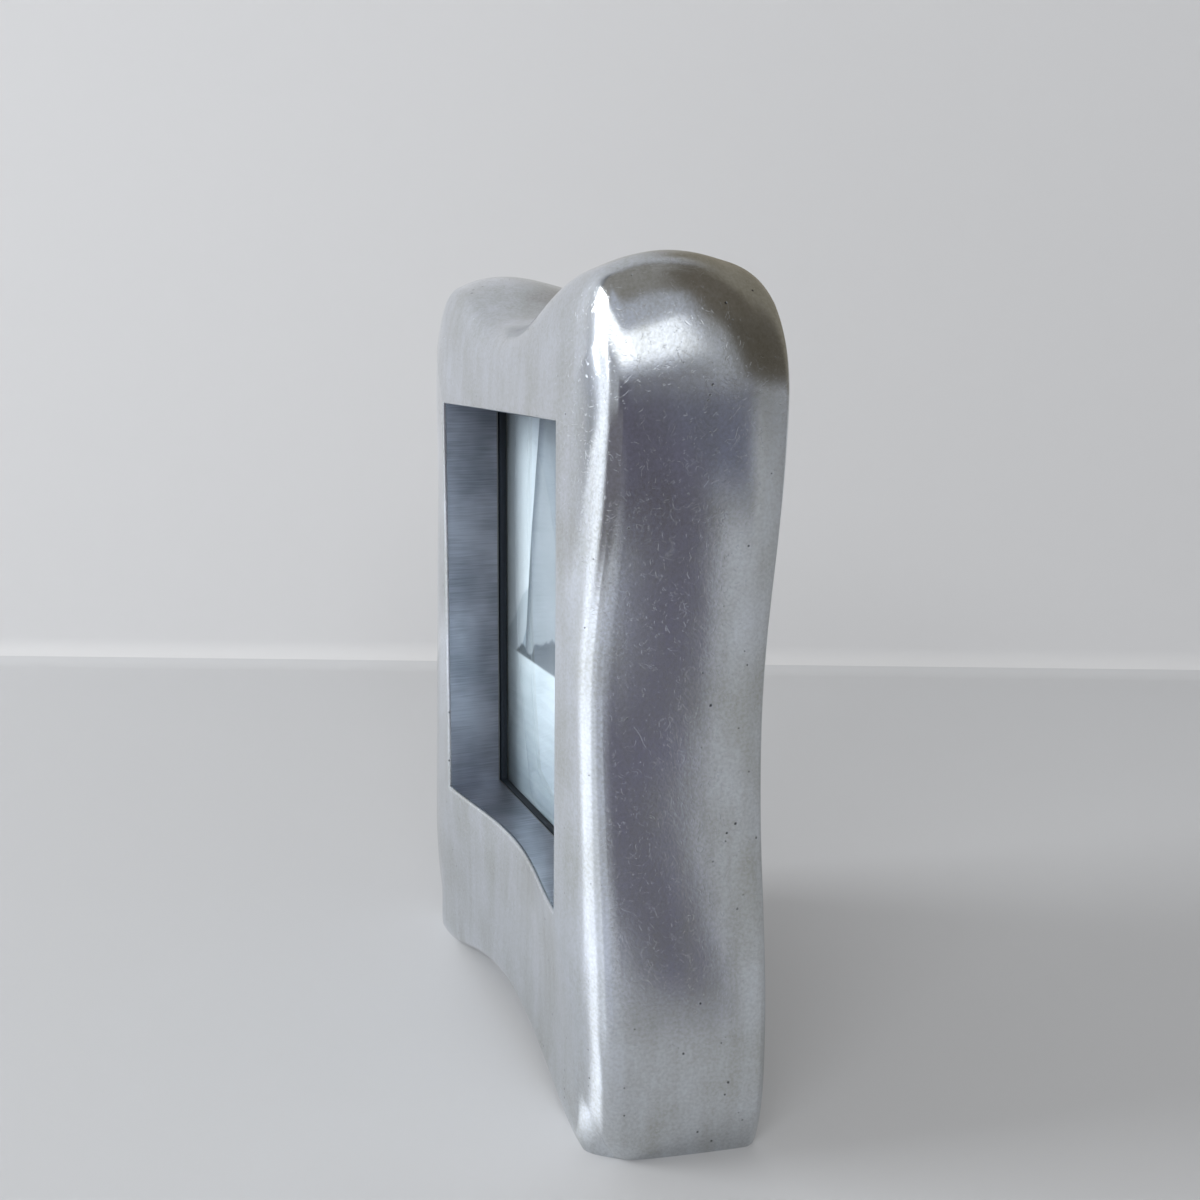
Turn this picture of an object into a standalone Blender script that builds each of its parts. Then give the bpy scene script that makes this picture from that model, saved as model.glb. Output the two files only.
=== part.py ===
"""A self-standing photo frame in cast aluminium.

One thick casting is frame, stand and feet. It has two rounded ears on top, drawn-in sides,
and an arch below that leaves two feet. The picture pack goes in from the back and is held by
four turn buttons.

The front faces -Y and up is +Z. The origin is on the floor, midway between the feet.
"""

from collections import namedtuple

import bmesh
import bpy
import numpy as np
from mathutils import Matrix, Vector

MM = 0.001

# The print, and how much of its edge the window hides
print_width = 76.2 * MM
print_height = 101.6 * MM
print_thickness = 0.25 * MM
sight_overlap_sides = 2.1 * MM
sight_overlap_ends = 4.8 * MM

# Outline of the casting, measured from the window
sill_height = 42.8 * MM
saddle_rise = 17.9 * MM
ear_rise = 30.1 * MM
ear_top_outset = 9.0 * MM
ear_side_rise = 5.1 * MM
ear_side_width = 25.1 * MM
waist_width = 20.7 * MM
waist_above_sill = 38.2 * MM
foot_side_width = 25.9 * MM
foot_side_height = 16.4 * MM
foot_corner_round = 5.7 * MM
sole_width = 5.9 * MM
sole_cut = 3.5 * MM
arch_height = 7.7 * MM

# Depths of the casting, from the front
casting_depth = 32.6 * MM
jamb_depth = 13.3 * MM
sill_hollow = 4.0 * MM
lintel_hollow = 0.5 * MM
hollow_power = 1.4

# The pack behind the window
gasket_thickness = 1.8 * MM
gasket_setback = 0.2 * MM
gasket_edge_round = 0.3 * MM
glass_thickness = 2.0 * MM
glass_arris = 0.3 * MM
board_thickness = 3.0 * MM
board_edge_round = 0.3 * MM
finger_notch_radius = 8.0 * MM
pack_gap = 0.3 * MM
glass_clearance = 0.5 * MM
rebate_clearance = 0.8 * MM

# The deeper pocket at the back, in which the turn buttons lie
pocket_margin_sides = 11.0 * MM
pocket_margin_ends = 5.0 * MM

# Turn buttons and their screws
button_reach = 12.0 * MM
button_pivot_radius = 3.5 * MM
button_tip_radius = 2.7 * MM
button_thickness = 1.0 * MM
button_edge_round = 0.2 * MM
button_rows_from_centre = 30.0 * MM
button_gap = 0.3 * MM
screw_shank_radius = 1.2 * MM
screw_hole_clearance = 0.3 * MM
screw_length = 7.0 * MM
screw_hole_spare_depth = 1.0 * MM
screw_head_radius = 2.9 * MM
screw_head_height = 1.8 * MM
screw_slot_width = 0.8 * MM
screw_slot_depth = 0.8 * MM

# How finely round things are divided
outline_steps = (8, 10, 8, 8, 6, 2, 8)
roll_points = 7
back_edge_points = 4
round_sides = 24

Section = namedtuple(
    "Section",
    "ridge_inset ridge_fall widest_at back_inset face_roll ridge_roll side_roll back_round",
)

# The rim's cross-section at named places, from the top centre down the right side.
# ridge_inset and back_inset: how far the front ridge and the back edge lie inside the outline
# ridge_fall: how far the ridge lies behind the face beside the window
# widest_at: share of the depth at which the rim is widest
# face_roll, ridge_roll, side_roll: share of each flank that is rounded away at its corner
# back_round: how far the back edge's rounding reaches
sections = {
    "saddle": Section(2.6 * MM, 1.2 * MM, 0.50, 1.8 * MM, 0.38, 0.32, 0.36, 2.0 * MM),
    "ear_top": Section(6.8 * MM, 1.3 * MM, 0.47, 4.0 * MM, 0.58, 0.34, 0.49, 5.8 * MM),
    "ear_side": Section(10.0 * MM, 2.1 * MM, 0.78, 0.4 * MM, 0.69, 0.13, 0.37, 3.2 * MM),
    "waist": Section(7.8 * MM, 0.2 * MM, 0.85, 1.2 * MM, 0.69, 0.13, 0.37, 1.3 * MM),
    "foot_side": Section(10.8 * MM, 0.4 * MM, 0.94, 1.1 * MM, 0.69, 0.13, 0.37, 1.0 * MM),
    "foot_outer": Section(5.2 * MM, 1.1 * MM, 0.92, 1.0 * MM, 0.49, 0.26, 0.25, 1.0 * MM),
    "foot_inner": Section(2.2 * MM, 0.9 * MM, 0.90, 0.8 * MM, 0.15, 0.10, 0.10, 0.8 * MM),
    "arch": Section(0.9 * MM, 2.5 * MM, 0.90, 0.8 * MM, 0.08, 0.08, 0.08, 0.8 * MM),
}

# How far each stretch of the outline runs straight on from its two ends, as a share
outline_pull = (
    (0.46, 0.48),
    (0.53, 0.57),
    (0.42, 0.42),
    (0.42, 0.42),
    (0.58, 0.56),
    (0.33, 0.33),
    (0.27, 0.45),
)

# Sizes that follow from the ones above
window_half_width = print_width / 2 - sight_overlap_sides
window_height = print_height - 2 * sight_overlap_ends
window_top = sill_height + window_height
window_centre = sill_height + window_height / 2
rebate_half_width = print_width / 2 + rebate_clearance
rebate_half_height = print_height / 2 + rebate_clearance
glass_half_width = rebate_half_width - glass_clearance
glass_half_height = rebate_half_height - glass_clearance
pocket_half_width = rebate_half_width + pocket_margin_sides
pocket_half_height = rebate_half_height + pocket_margin_ends

face_y = -casting_depth / 2
back_y = casting_depth / 2
ledge_y = face_y + jamb_depth
gasket_y = ledge_y + pack_gap
glass_y = gasket_y + gasket_thickness + pack_gap
print_y = glass_y + glass_thickness + pack_gap
board_y = print_y + print_thickness + pack_gap
pocket_floor_y = board_y + board_thickness
button_y = pocket_floor_y + button_gap
screw_head_y = button_y + button_thickness + button_gap

pivot_x = rebate_half_width + pocket_margin_sides / 2


def clear_scene():
    for item in list(bpy.data.objects):
        bpy.data.objects.remove(item, do_unlink=True)


def finish(name, colour, roughness, metallic=0.0, alpha=1.0):
    """One plain material with the given colour."""
    material = bpy.data.materials.new(name)
    material.use_nodes = True
    shader = material.node_tree.nodes["Principled BSDF"]
    shader.inputs["Base Color"].default_value = (*colour, 1.0)
    shader.inputs["Roughness"].default_value = roughness
    shader.inputs["Metallic"].default_value = metallic
    shader.inputs["Alpha"].default_value = alpha
    return material


def add_object(name, bm, material, location=(0.0, 0.0, 0.0)):
    """Turn a bmesh into a smooth-shaded object with one material."""
    bmesh.ops.recalc_face_normals(bm, faces=bm.faces)
    mesh = bpy.data.meshes.new(name)
    bm.to_mesh(mesh)
    bm.free()
    mesh.materials.append(material)
    mesh.shade_smooth()
    mesh.set_sharp_from_angle(angle=np.radians(35))
    item = bpy.data.objects.new(name, mesh)
    item.location = location
    bpy.context.collection.objects.link(item)
    return item


def add_cutter(name, bm, target):
    """Cut a helper shape out of an object with a Boolean."""
    bmesh.ops.recalc_face_normals(bm, faces=bm.faces)
    mesh = bpy.data.meshes.new(name)
    bm.to_mesh(mesh)
    bm.free()
    cutter = bpy.data.objects.new(name, mesh)
    cutter.location = target.location
    cutter.hide_render = True
    cutter.display_type = "WIRE"
    bpy.context.collection.objects.link(cutter)
    cut = target.modifiers.new(name, "BOOLEAN")
    cut.operation = "DIFFERENCE"
    cut.solver = "EXACT"
    cut.object = cutter
    return cutter


def round_edges(item, width):
    """A small rounding on the sharp edges of a plate."""
    bevel = item.modifiers.new("edge_round", "BEVEL")
    bevel.width = width
    bevel.segments = 1
    bevel.limit_method = "ANGLE"
    bevel.angle_limit = np.radians(50)


def outline_places():
    """Named places on the right half of the outline, as (x, z, along): along says which way
    the outline runs there, 0 for across and 1 for up and down."""
    foot_outer_x = window_half_width + foot_side_width - foot_corner_round
    return (
        (0.0, window_top + saddle_rise, 0),
        (window_half_width + ear_top_outset, window_top + ear_rise, 0),
        (window_half_width + ear_side_width, window_top + ear_side_rise, 1),
        (window_half_width + waist_width, sill_height + waist_above_sill, 1),
        (window_half_width + foot_side_width, foot_side_height, 1),
        (foot_outer_x, -sole_cut, 0),
        (foot_outer_x - sole_width, -sole_cut, 0),
        (0.0, arch_height, 0),
    )


def outline_point(stretch, t):
    """A point on one stretch of the outline, a Bezier curve between two named places."""
    places = outline_places()
    x0, z0, along0 = places[stretch]
    x1, z1, along1 = places[stretch + 1]
    start = np.array((x0, z0))
    end = np.array((x1, z1))
    reach = end - start
    pull0, pull1 = outline_pull[stretch]
    leave = start + reach * np.array((along0 == 0, along0 == 1)) * pull0
    arrive = end - reach * np.array((along1 == 0, along1 == 1)) * pull1
    u = 1 - t
    return u**3 * start + 3 * u * u * t * leave + 3 * u * t * t * arrive + t**3 * end


def between_sections(place):
    """The cross-section's sizes at a place along the rim: 0 is the saddle, 7 the arch. The
    curve through the named sections never passes beyond them."""
    table = np.array([tuple(section) for section in sections.values()])
    steps = np.diff(table, axis=0)
    slopes = np.zeros_like(table)
    before, after = steps[:-1], steps[1:]
    same_way = before * after > 0
    total = np.where(same_way, before + after, 1.0)
    slopes[1:-1] = np.where(same_way, 2 * before * after / total, 0.0)
    i = min(int(place), len(steps) - 1)
    t = place - i
    blend = t * t * (3 - 2 * t)
    row = table[i] + steps[i] * blend
    row += slopes[i] * t * (1 - t) ** 2 - slopes[i + 1] * t * t * (1 - t)
    return Section(*row)


def on_rectangle(place, half_width, low, high):
    """The point of a rectangle round the window that belongs to a place along the rim. Two
    stations fall exactly on the rectangle's corners."""
    across = np.interp(place, (0, 1, 1.5, 4.5, 5, 6, 7), (0, 0.8, 1, 1, 0.94, 0.72, 0))
    down = np.interp(place, (1.5, 2, 3, 4, 4.5), (0, 0.14, 0.5, 0.92, 1))
    return np.array((across * half_width, high + (low - high) * down))


def face_depth(place, x):
    """Y of the casting's face at the window's edge, hollowed towards the middle."""
    hollow = lintel_hollow if place < 3 else sill_hollow
    share = min(1.0, abs(x) / window_half_width)
    return face_y + hollow * max(0.0, np.cos(np.pi / 2 * share)) ** hollow_power


def rolled_corner(before, corner, after, share_before, share_after, count):
    """Points on a curve that rounds a corner away, from a share of one flank to a share of
    the next."""
    start = corner + (before - corner) * share_before
    end = corner + (after - corner) * share_after
    steps = np.linspace(0, 1, count)[:, None]
    return (1 - steps) ** 2 * start + 2 * steps * (1 - steps) * corner + steps**2 * end


def rim_section(stretch, t):
    """One closed cross-section of the casting, as (x, y, z) points."""
    place = stretch + t
    section = between_sections(place)
    edge = outline_point(stretch, t)
    window = on_rectangle(place, window_half_width, sill_height, window_top)
    rebate = on_rectangle(
        place,
        rebate_half_width,
        window_centre - rebate_half_height,
        window_centre + rebate_half_height,
    )
    pocket = on_rectangle(
        place,
        pocket_half_width,
        window_centre - pocket_half_height,
        window_centre + pocket_half_height,
    )
    width = np.linalg.norm(edge - window)
    outwards = (edge - window) / width

    face = np.array((0.0, face_depth(place, window[0])))
    ridge = np.array((width - section.ridge_inset, face_y + section.ridge_fall))
    widest = np.array((width, face_y + casting_depth * section.widest_at))
    back = np.array((width - section.back_inset, back_y))
    inner = np.array((0.0, back_y))
    back_share = section.back_round / np.linalg.norm(back - widest)
    inner_share = section.back_round / np.linalg.norm(back - inner)
    profile = np.vstack(
        (
            face,
            rolled_corner(
                face, ridge, widest, section.face_roll, section.ridge_roll, roll_points
            ),
            rolled_corner(
                ridge, widest, back, section.side_roll, section.side_roll, roll_points
            ),
            rolled_corner(
                widest, back, inner, back_share, inner_share, back_edge_points
            ),
        )
    )
    points = [
        (window[0] + outwards[0] * out, y, window[1] + outwards[1] * out)
        for out, y in profile
    ]
    for corner, y in (
        (pocket, back_y),
        (pocket, pocket_floor_y),
        (rebate, pocket_floor_y),
        (rebate, ledge_y),
        (window, ledge_y),
    ):
        points.append((corner[0], y, corner[1]))
    return points


def cast_sections():
    """Every cross-section round the window, clockwise from the top centre."""
    right = []
    for stretch, steps in enumerate(outline_steps):
        right += [rim_section(stretch, step / steps) for step in range(steps)]
    right.append(rim_section(len(outline_steps) - 1, 1.0))
    left = [[(-x, y, z) for x, y, z in ring] for ring in reversed(right[1:-1])]
    return right + left


def cylinder(bm, radius, y_low, y_high, x=0.0, z=0.0):
    """A closed cylinder along Y."""
    length = y_high - y_low
    turn = Matrix.Rotation(np.pi / 2, 4, "X")
    place = Matrix.Translation(Vector((x, y_low + length / 2, z)))
    bmesh.ops.create_cone(
        bm,
        cap_ends=True,
        segments=round_sides,
        radius1=radius,
        radius2=radius,
        depth=length,
        matrix=place @ turn,
    )


def box(bm, low, high):
    """A closed box between two corners."""
    low = Vector(low)
    high = Vector(high)
    size = Matrix.Diagonal((*(high - low), 1.0))
    bmesh.ops.create_cube(bm, size=1.0, matrix=Matrix.Translation((low + high) / 2) @ size)


def pivots():
    """Centre of each turn button's screw, as (x, z, side): side is 1 on the right."""
    for side in (1, -1):
        for row in (1, -1):
            yield side * pivot_x, window_centre + row * button_rows_from_centre, side


def make_cast_frame(material):
    """Loft the rings round the window, grind the soles flat and drill the screw holes."""
    rings = cast_sections()
    bm = bmesh.new()
    loops = [[bm.verts.new(point) for point in ring] for ring in rings]
    for ring, following in zip(loops, loops[1:] + loops[:1]):
        for i in range(len(ring)):
            j = (i + 1) % len(ring)
            bm.faces.new((ring[i], ring[j], following[j], following[i]))
    cut = bmesh.ops.bisect_plane(
        bm,
        geom=bm.verts[:] + bm.edges[:] + bm.faces[:],
        plane_co=(0, 0, 0),
        plane_no=(0, 0, -1),
        clear_outer=True,
    )
    rim = [edge for edge in cut["geom_cut"] if isinstance(edge, bmesh.types.BMEdge)]
    bmesh.ops.holes_fill(bm, edges=rim, sides=0)
    item = add_object("cast_frame", bm, material)

    drill = bmesh.new()
    hole_radius = screw_shank_radius + screw_hole_clearance
    hole_bottom = screw_head_y - screw_length - screw_hole_spare_depth
    for x, z, _ in pivots():
        cylinder(drill, hole_radius, hole_bottom, pocket_floor_y + button_gap, x, z)
    add_cutter("screw_hole_drill", drill, item)
    return item


def make_gasket(material):
    """A flat black band round the window that carries the glass."""
    outer_width = rebate_half_width - pack_gap
    outer_height = rebate_half_height - pack_gap
    inner_width = window_half_width + gasket_setback
    inner_height = window_height / 2 + gasket_setback
    bm = bmesh.new()
    rings = []
    for half_width, half_height in ((outer_width, outer_height), (inner_width, inner_height)):
        for y in (gasket_y, gasket_y + gasket_thickness):
            corners = ((1, 1), (-1, 1), (-1, -1), (1, -1))
            rings.append(
                [bm.verts.new((sx * half_width, y, window_centre + sz * half_height))
                 for sx, sz in corners]
            )
    outer_front, outer_back, inner_front, inner_back = rings
    for one, other in (
        (outer_front, outer_back),
        (outer_back, inner_back),
        (inner_back, inner_front),
        (inner_front, outer_front),
    ):
        for i in range(4):
            j = (i + 1) % 4
            bm.faces.new((one[i], one[j], other[j], other[i]))
    item = add_object("glazing_gasket", bm, material)
    round_edges(item, gasket_edge_round)
    return item


def make_sheet(name, material, half_width, half_height, y, thickness, edge_round):
    """A flat sheet of the pack, centred on the window."""
    bm = bmesh.new()
    box(
        bm,
        (-half_width, y, window_centre - half_height),
        (half_width, y + thickness, window_centre + half_height),
    )
    item = add_object(name, bm, material)
    if edge_round:
        round_edges(item, edge_round)
    return item


def make_backing_board(material):
    """Hardboard with a thumb notch in its top edge, to lift it out by."""
    item = make_sheet(
        "backing_board",
        material,
        glass_half_width,
        glass_half_height,
        board_y,
        board_thickness,
        0.0,
    )
    notch = bmesh.new()
    cylinder(
        notch,
        finger_notch_radius,
        board_y - board_thickness,
        board_y + 2 * board_thickness,
        0.0,
        window_centre + glass_half_height,
    )
    add_cutter("finger_notch", notch, item)
    round_edges(item, board_edge_round)
    return item


def button_outline():
    """A tab with two round ends of unlike radius, pivot at the origin, tip towards +X."""
    tip_x = button_reach - button_tip_radius
    lean = np.arcsin((button_pivot_radius - button_tip_radius) / tip_x)
    half_turn = np.pi / 2 - lean
    points = []
    for angle in np.linspace(half_turn, 2 * np.pi - half_turn, round_sides // 2 + 1):
        points.append((button_pivot_radius * np.cos(angle), button_pivot_radius * np.sin(angle)))
    for angle in np.linspace(-half_turn, half_turn, round_sides // 2 + 1):
        points.append(
            (tip_x + button_tip_radius * np.cos(angle), button_tip_radius * np.sin(angle))
        )
    return points


def make_turn_button(name, material, x, z, side):
    """A stamped steel tab whose origin is on its screw's axis. It points to the middle."""
    bm = bmesh.new()
    outline = [(-side * px, pz) for px, pz in button_outline()]
    front = [bm.verts.new((px, 0.0, pz)) for px, pz in outline]
    lower = bm.faces.new(front)
    raised = bmesh.ops.extrude_face_region(bm, geom=[lower])
    tops = [v for v in raised["geom"] if isinstance(v, bmesh.types.BMVert)]
    bmesh.ops.translate(bm, verts=tops, vec=(0.0, button_thickness, 0.0))
    item = add_object(name, bm, material, (x, button_y, z))
    round_edges(item, button_edge_round)
    hole = bmesh.new()
    cylinder(hole, screw_shank_radius + screw_hole_clearance, -button_gap, 2 * button_thickness)
    add_cutter(name + "_hole", hole, item)
    return item


def make_button_screw(name, material, x, z):
    """A slotted pan-head screw along Y, turned about its own axis."""
    head_y = 0.0
    tip_y = -screw_length
    dome = 0.45 * screw_head_height
    profile = (
        (0.0, head_y + screw_head_height),
        (0.5 * screw_head_radius, head_y + screw_head_height - 0.05 * dome),
        (0.85 * screw_head_radius, head_y + screw_head_height - 0.4 * dome),
        (screw_head_radius, head_y + screw_head_height - dome),
        (screw_head_radius, head_y),
        (screw_shank_radius, head_y),
        (screw_shank_radius, tip_y + screw_shank_radius),
        (0.0, tip_y),
    )
    bm = bmesh.new()
    verts = [bm.verts.new((r, y, 0.0)) for r, y in profile]
    edges = [bm.edges.new(pair) for pair in zip(verts, verts[1:])]
    bmesh.ops.spin(
        bm,
        geom=verts + edges,
        cent=(0, 0, 0),
        axis=(0, 1, 0),
        angle=2 * np.pi,
        steps=round_sides,
        use_merge=True,
    )
    bmesh.ops.remove_doubles(bm, verts=bm.verts, dist=0.001 * MM)
    item = add_object(name, bm, material, (x, screw_head_y, z))
    slot = bmesh.new()
    box(
        slot,
        (-2 * screw_head_radius, screw_head_height - screw_slot_depth, -screw_slot_width / 2),
        (2 * screw_head_radius, 2 * screw_head_height, screw_slot_width / 2),
    )
    add_cutter(name + "_slot", slot, item)
    return item


def main():
    clear_scene()
    aluminium = finish("polished cast aluminium", (0.60, 0.61, 0.62), 0.28, 1.0)
    foam = finish("black foam band", (0.012, 0.013, 0.015), 0.8)
    glass = finish("picture glass", (0.92, 0.96, 0.95), 0.02, 0.0, 0.25)
    paper = finish("photo paper", (0.45, 0.49, 0.53), 0.4)
    hardboard = finish("brown hardboard", (0.19, 0.11, 0.06), 0.8)
    steel = finish("nickel-plated steel", (0.52, 0.50, 0.47), 0.35, 1.0)
    zinc = finish("zinc-plated screw", (0.56, 0.57, 0.58), 0.3, 1.0)

    make_cast_frame(aluminium)
    make_gasket(foam)
    make_sheet(
        "glass_pane",
        glass,
        glass_half_width,
        glass_half_height,
        glass_y,
        glass_thickness,
        glass_arris,
    )
    make_sheet(
        "photo_print", paper, print_width / 2, print_height / 2, print_y, print_thickness, 0.0
    )
    make_backing_board(hardboard)
    for number, (x, z, side) in enumerate(pivots(), start=1):
        make_turn_button(f"turn_button_{number}", steel, x, z, side)
        make_button_screw(f"button_screw_{number}", zinc, x, z)


main()
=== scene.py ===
"""Looks of a self-standing photo frame in cast aluminium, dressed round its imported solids.

The casting is lofted again at a finer step, from the sizes that its solid has. The picture
pack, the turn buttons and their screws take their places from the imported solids. Lengths are
in metres, the front faces -Y and up is +Z. The origin is on the floor, between the feet.
"""

import logging
import math
from collections.abc import Callable, Sequence
from dataclasses import dataclass, field
from enum import Enum
from functools import partial
from typing import Any, ClassVar, NamedTuple

import bmesh
import bpy
import numpy as np
from bpy.types import Material, Mesh, Node, NodeSocket, NodeTree, Object
from mathutils import Matrix, Vector


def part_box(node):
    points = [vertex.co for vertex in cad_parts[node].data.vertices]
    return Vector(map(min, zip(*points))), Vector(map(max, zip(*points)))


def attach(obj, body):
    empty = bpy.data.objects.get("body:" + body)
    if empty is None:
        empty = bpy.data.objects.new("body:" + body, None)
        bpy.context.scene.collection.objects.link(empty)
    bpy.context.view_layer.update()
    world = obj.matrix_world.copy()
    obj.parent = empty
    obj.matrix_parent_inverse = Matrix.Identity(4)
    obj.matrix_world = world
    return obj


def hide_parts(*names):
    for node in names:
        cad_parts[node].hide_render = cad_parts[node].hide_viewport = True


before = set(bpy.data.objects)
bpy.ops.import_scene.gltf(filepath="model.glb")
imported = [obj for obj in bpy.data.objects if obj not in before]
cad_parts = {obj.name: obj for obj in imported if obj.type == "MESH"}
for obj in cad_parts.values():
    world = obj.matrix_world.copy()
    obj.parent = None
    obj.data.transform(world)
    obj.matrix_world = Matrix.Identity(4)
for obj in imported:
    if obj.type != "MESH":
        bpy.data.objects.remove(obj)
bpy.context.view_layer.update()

MM = 0.001
# Points closer than this are one, and a plate's edges bent by more radians are rounded
DOUBLES = 0.0005 * MM
EDGE_ANGLE = 0.8
log = logging.getLogger("photo_frame")

Span = tuple[float, float]
Point = tuple[float, float, float]
Add = Callable[..., NodeSocket]

# The kinds of node used most
MATH = "ShaderNodeMath"
MIX = "ShaderNodeMix"
RANGE = "ShaderNodeMapRange"
NOISE = "ShaderNodeTexNoise"
CELLS = "ShaderNodeTexVoronoi"
COORDINATES = "ShaderNodeTexCoord"
MAPPING = "ShaderNodeMapping"
AXES = "ShaderNodeSeparateXYZ"
ATTRIBUTE = "ShaderNodeAttribute"
WHOLE = "FunctionNodeIntegerMath"
COMPARE = "FunctionNodeCompare"
SWITCH = "GeometryNodeSwitch"
NAMED = "GeometryNodeInputNamedAttribute"
SAMPLE = "GeometryNodeSampleIndex"
MOVE = "GeometryNodeSetPosition"
STORE = "GeometryNodeStoreNamedAttribute"


def linear(hex_colour: str) -> tuple[float, float, float, float]:
    """Turns an sRGB colour such as "#c4c6c7" to linear RGBA."""
    channels = (int(hex_colour[i : i + 2], 16) / 255 for i in (1, 3, 5))
    return (*(c / 12.92 if c <= 0.04045 else ((c + 0.055) / 1.055) ** 2.4 for c in channels), 1.0)


def per(length: float) -> float:
    """How often a pattern of that length repeats in one metre."""
    return 1.0 / length


def feed(node: Node, inputs: dict[str, Any] | Sequence[Any]) -> None:
    """Links or sets a node's inputs.

    Args:
        node: The node.
        inputs: The socket to link or the value to set for each input, by name or in the order
            of the inputs in use. A colour is written as "#rrggbb".
    """
    sockets = [socket for socket in node.inputs if socket.enabled]
    if isinstance(inputs, dict):
        names = [socket.name for socket in sockets]
        sockets = [sockets[names.index(name)] for name in inputs]
        inputs = list(inputs.values())
    for socket, value in zip(sockets, inputs):
        if isinstance(value, NodeSocket):
            node.id_data.links.new(value, socket)
        elif isinstance(value, str) and value.startswith("#"):
            socket.default_value = linear(value)
        else:
            socket.default_value = value


def add_node(
    tree: NodeTree,
    kind: str,
    inputs: dict[str, Any] | Sequence[Any] = (),
    output: str | None = None,
    **settings: Any,
) -> NodeSocket:
    """Adds one node with its settings and links.

    Args:
        tree: Where the node goes.
        kind: The node's type.
        inputs: What its inputs get, as feed takes it.
        output: The name of the output wanted, or None for the first.
        settings: Properties of the node itself, set before its sockets are looked up.

    Returns:
        That output, from which its node and other outputs can be reached.
    """
    node = tree.nodes.new(kind)
    for name, value in settings.items():
        setattr(node, name, value)
    feed(node, inputs)
    return next(s for s in node.outputs if s.enabled and output in (None, s.name))


# Finishes


class Look(NamedTuple):
    """What a finish gives its shader. The relief is a height, times the length beside it."""

    colour: NodeSocket | str
    roughness: NodeSocket | float
    metallic: float = 0.0
    relief: NodeSocket | None = None
    relief_height: float = MM


class Finish:
    """A finish that is made into a material once and then shared by its pieces."""

    name: ClassVar[str]

    def material(self) -> Material:
        """Makes the finish into a node material the first time that it is asked for.

        Returns:
            The material.
        """
        found = bpy.data.materials.get(self.name)
        if found is not None:
            return found
        made = bpy.data.materials.new(self.name)
        made.use_nodes = True
        nodes = made.node_tree.nodes
        add = partial(add_node, made.node_tree)
        shader = nodes["Principled BSDF"]
        look = self.look(add, add(COORDINATES, output="Object"))
        feed(
            shader,
            {"Base Color": look.colour, "Roughness": look.roughness, "Metallic": look.metallic},
        )
        if look.relief is not None:
            relief = {"Distance": look.relief_height, "Height": look.relief}
            feed(shader, {"Normal": add("ShaderNodeBump", relief)})
        feed(nodes["Material Output"], {"Surface": self.surface(add, shader)})
        return made

    def look(self, add: Add, place: NodeSocket) -> Look:
        """Adds the nodes that draw the finish, and gives the shader's inputs."""
        raise NotImplementedError

    def surface(self, add: Add, shader: Node) -> NodeSocket:
        """The surface that is rendered, which is the plain shader unless a finish says more."""
        return shader.outputs[0]


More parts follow.
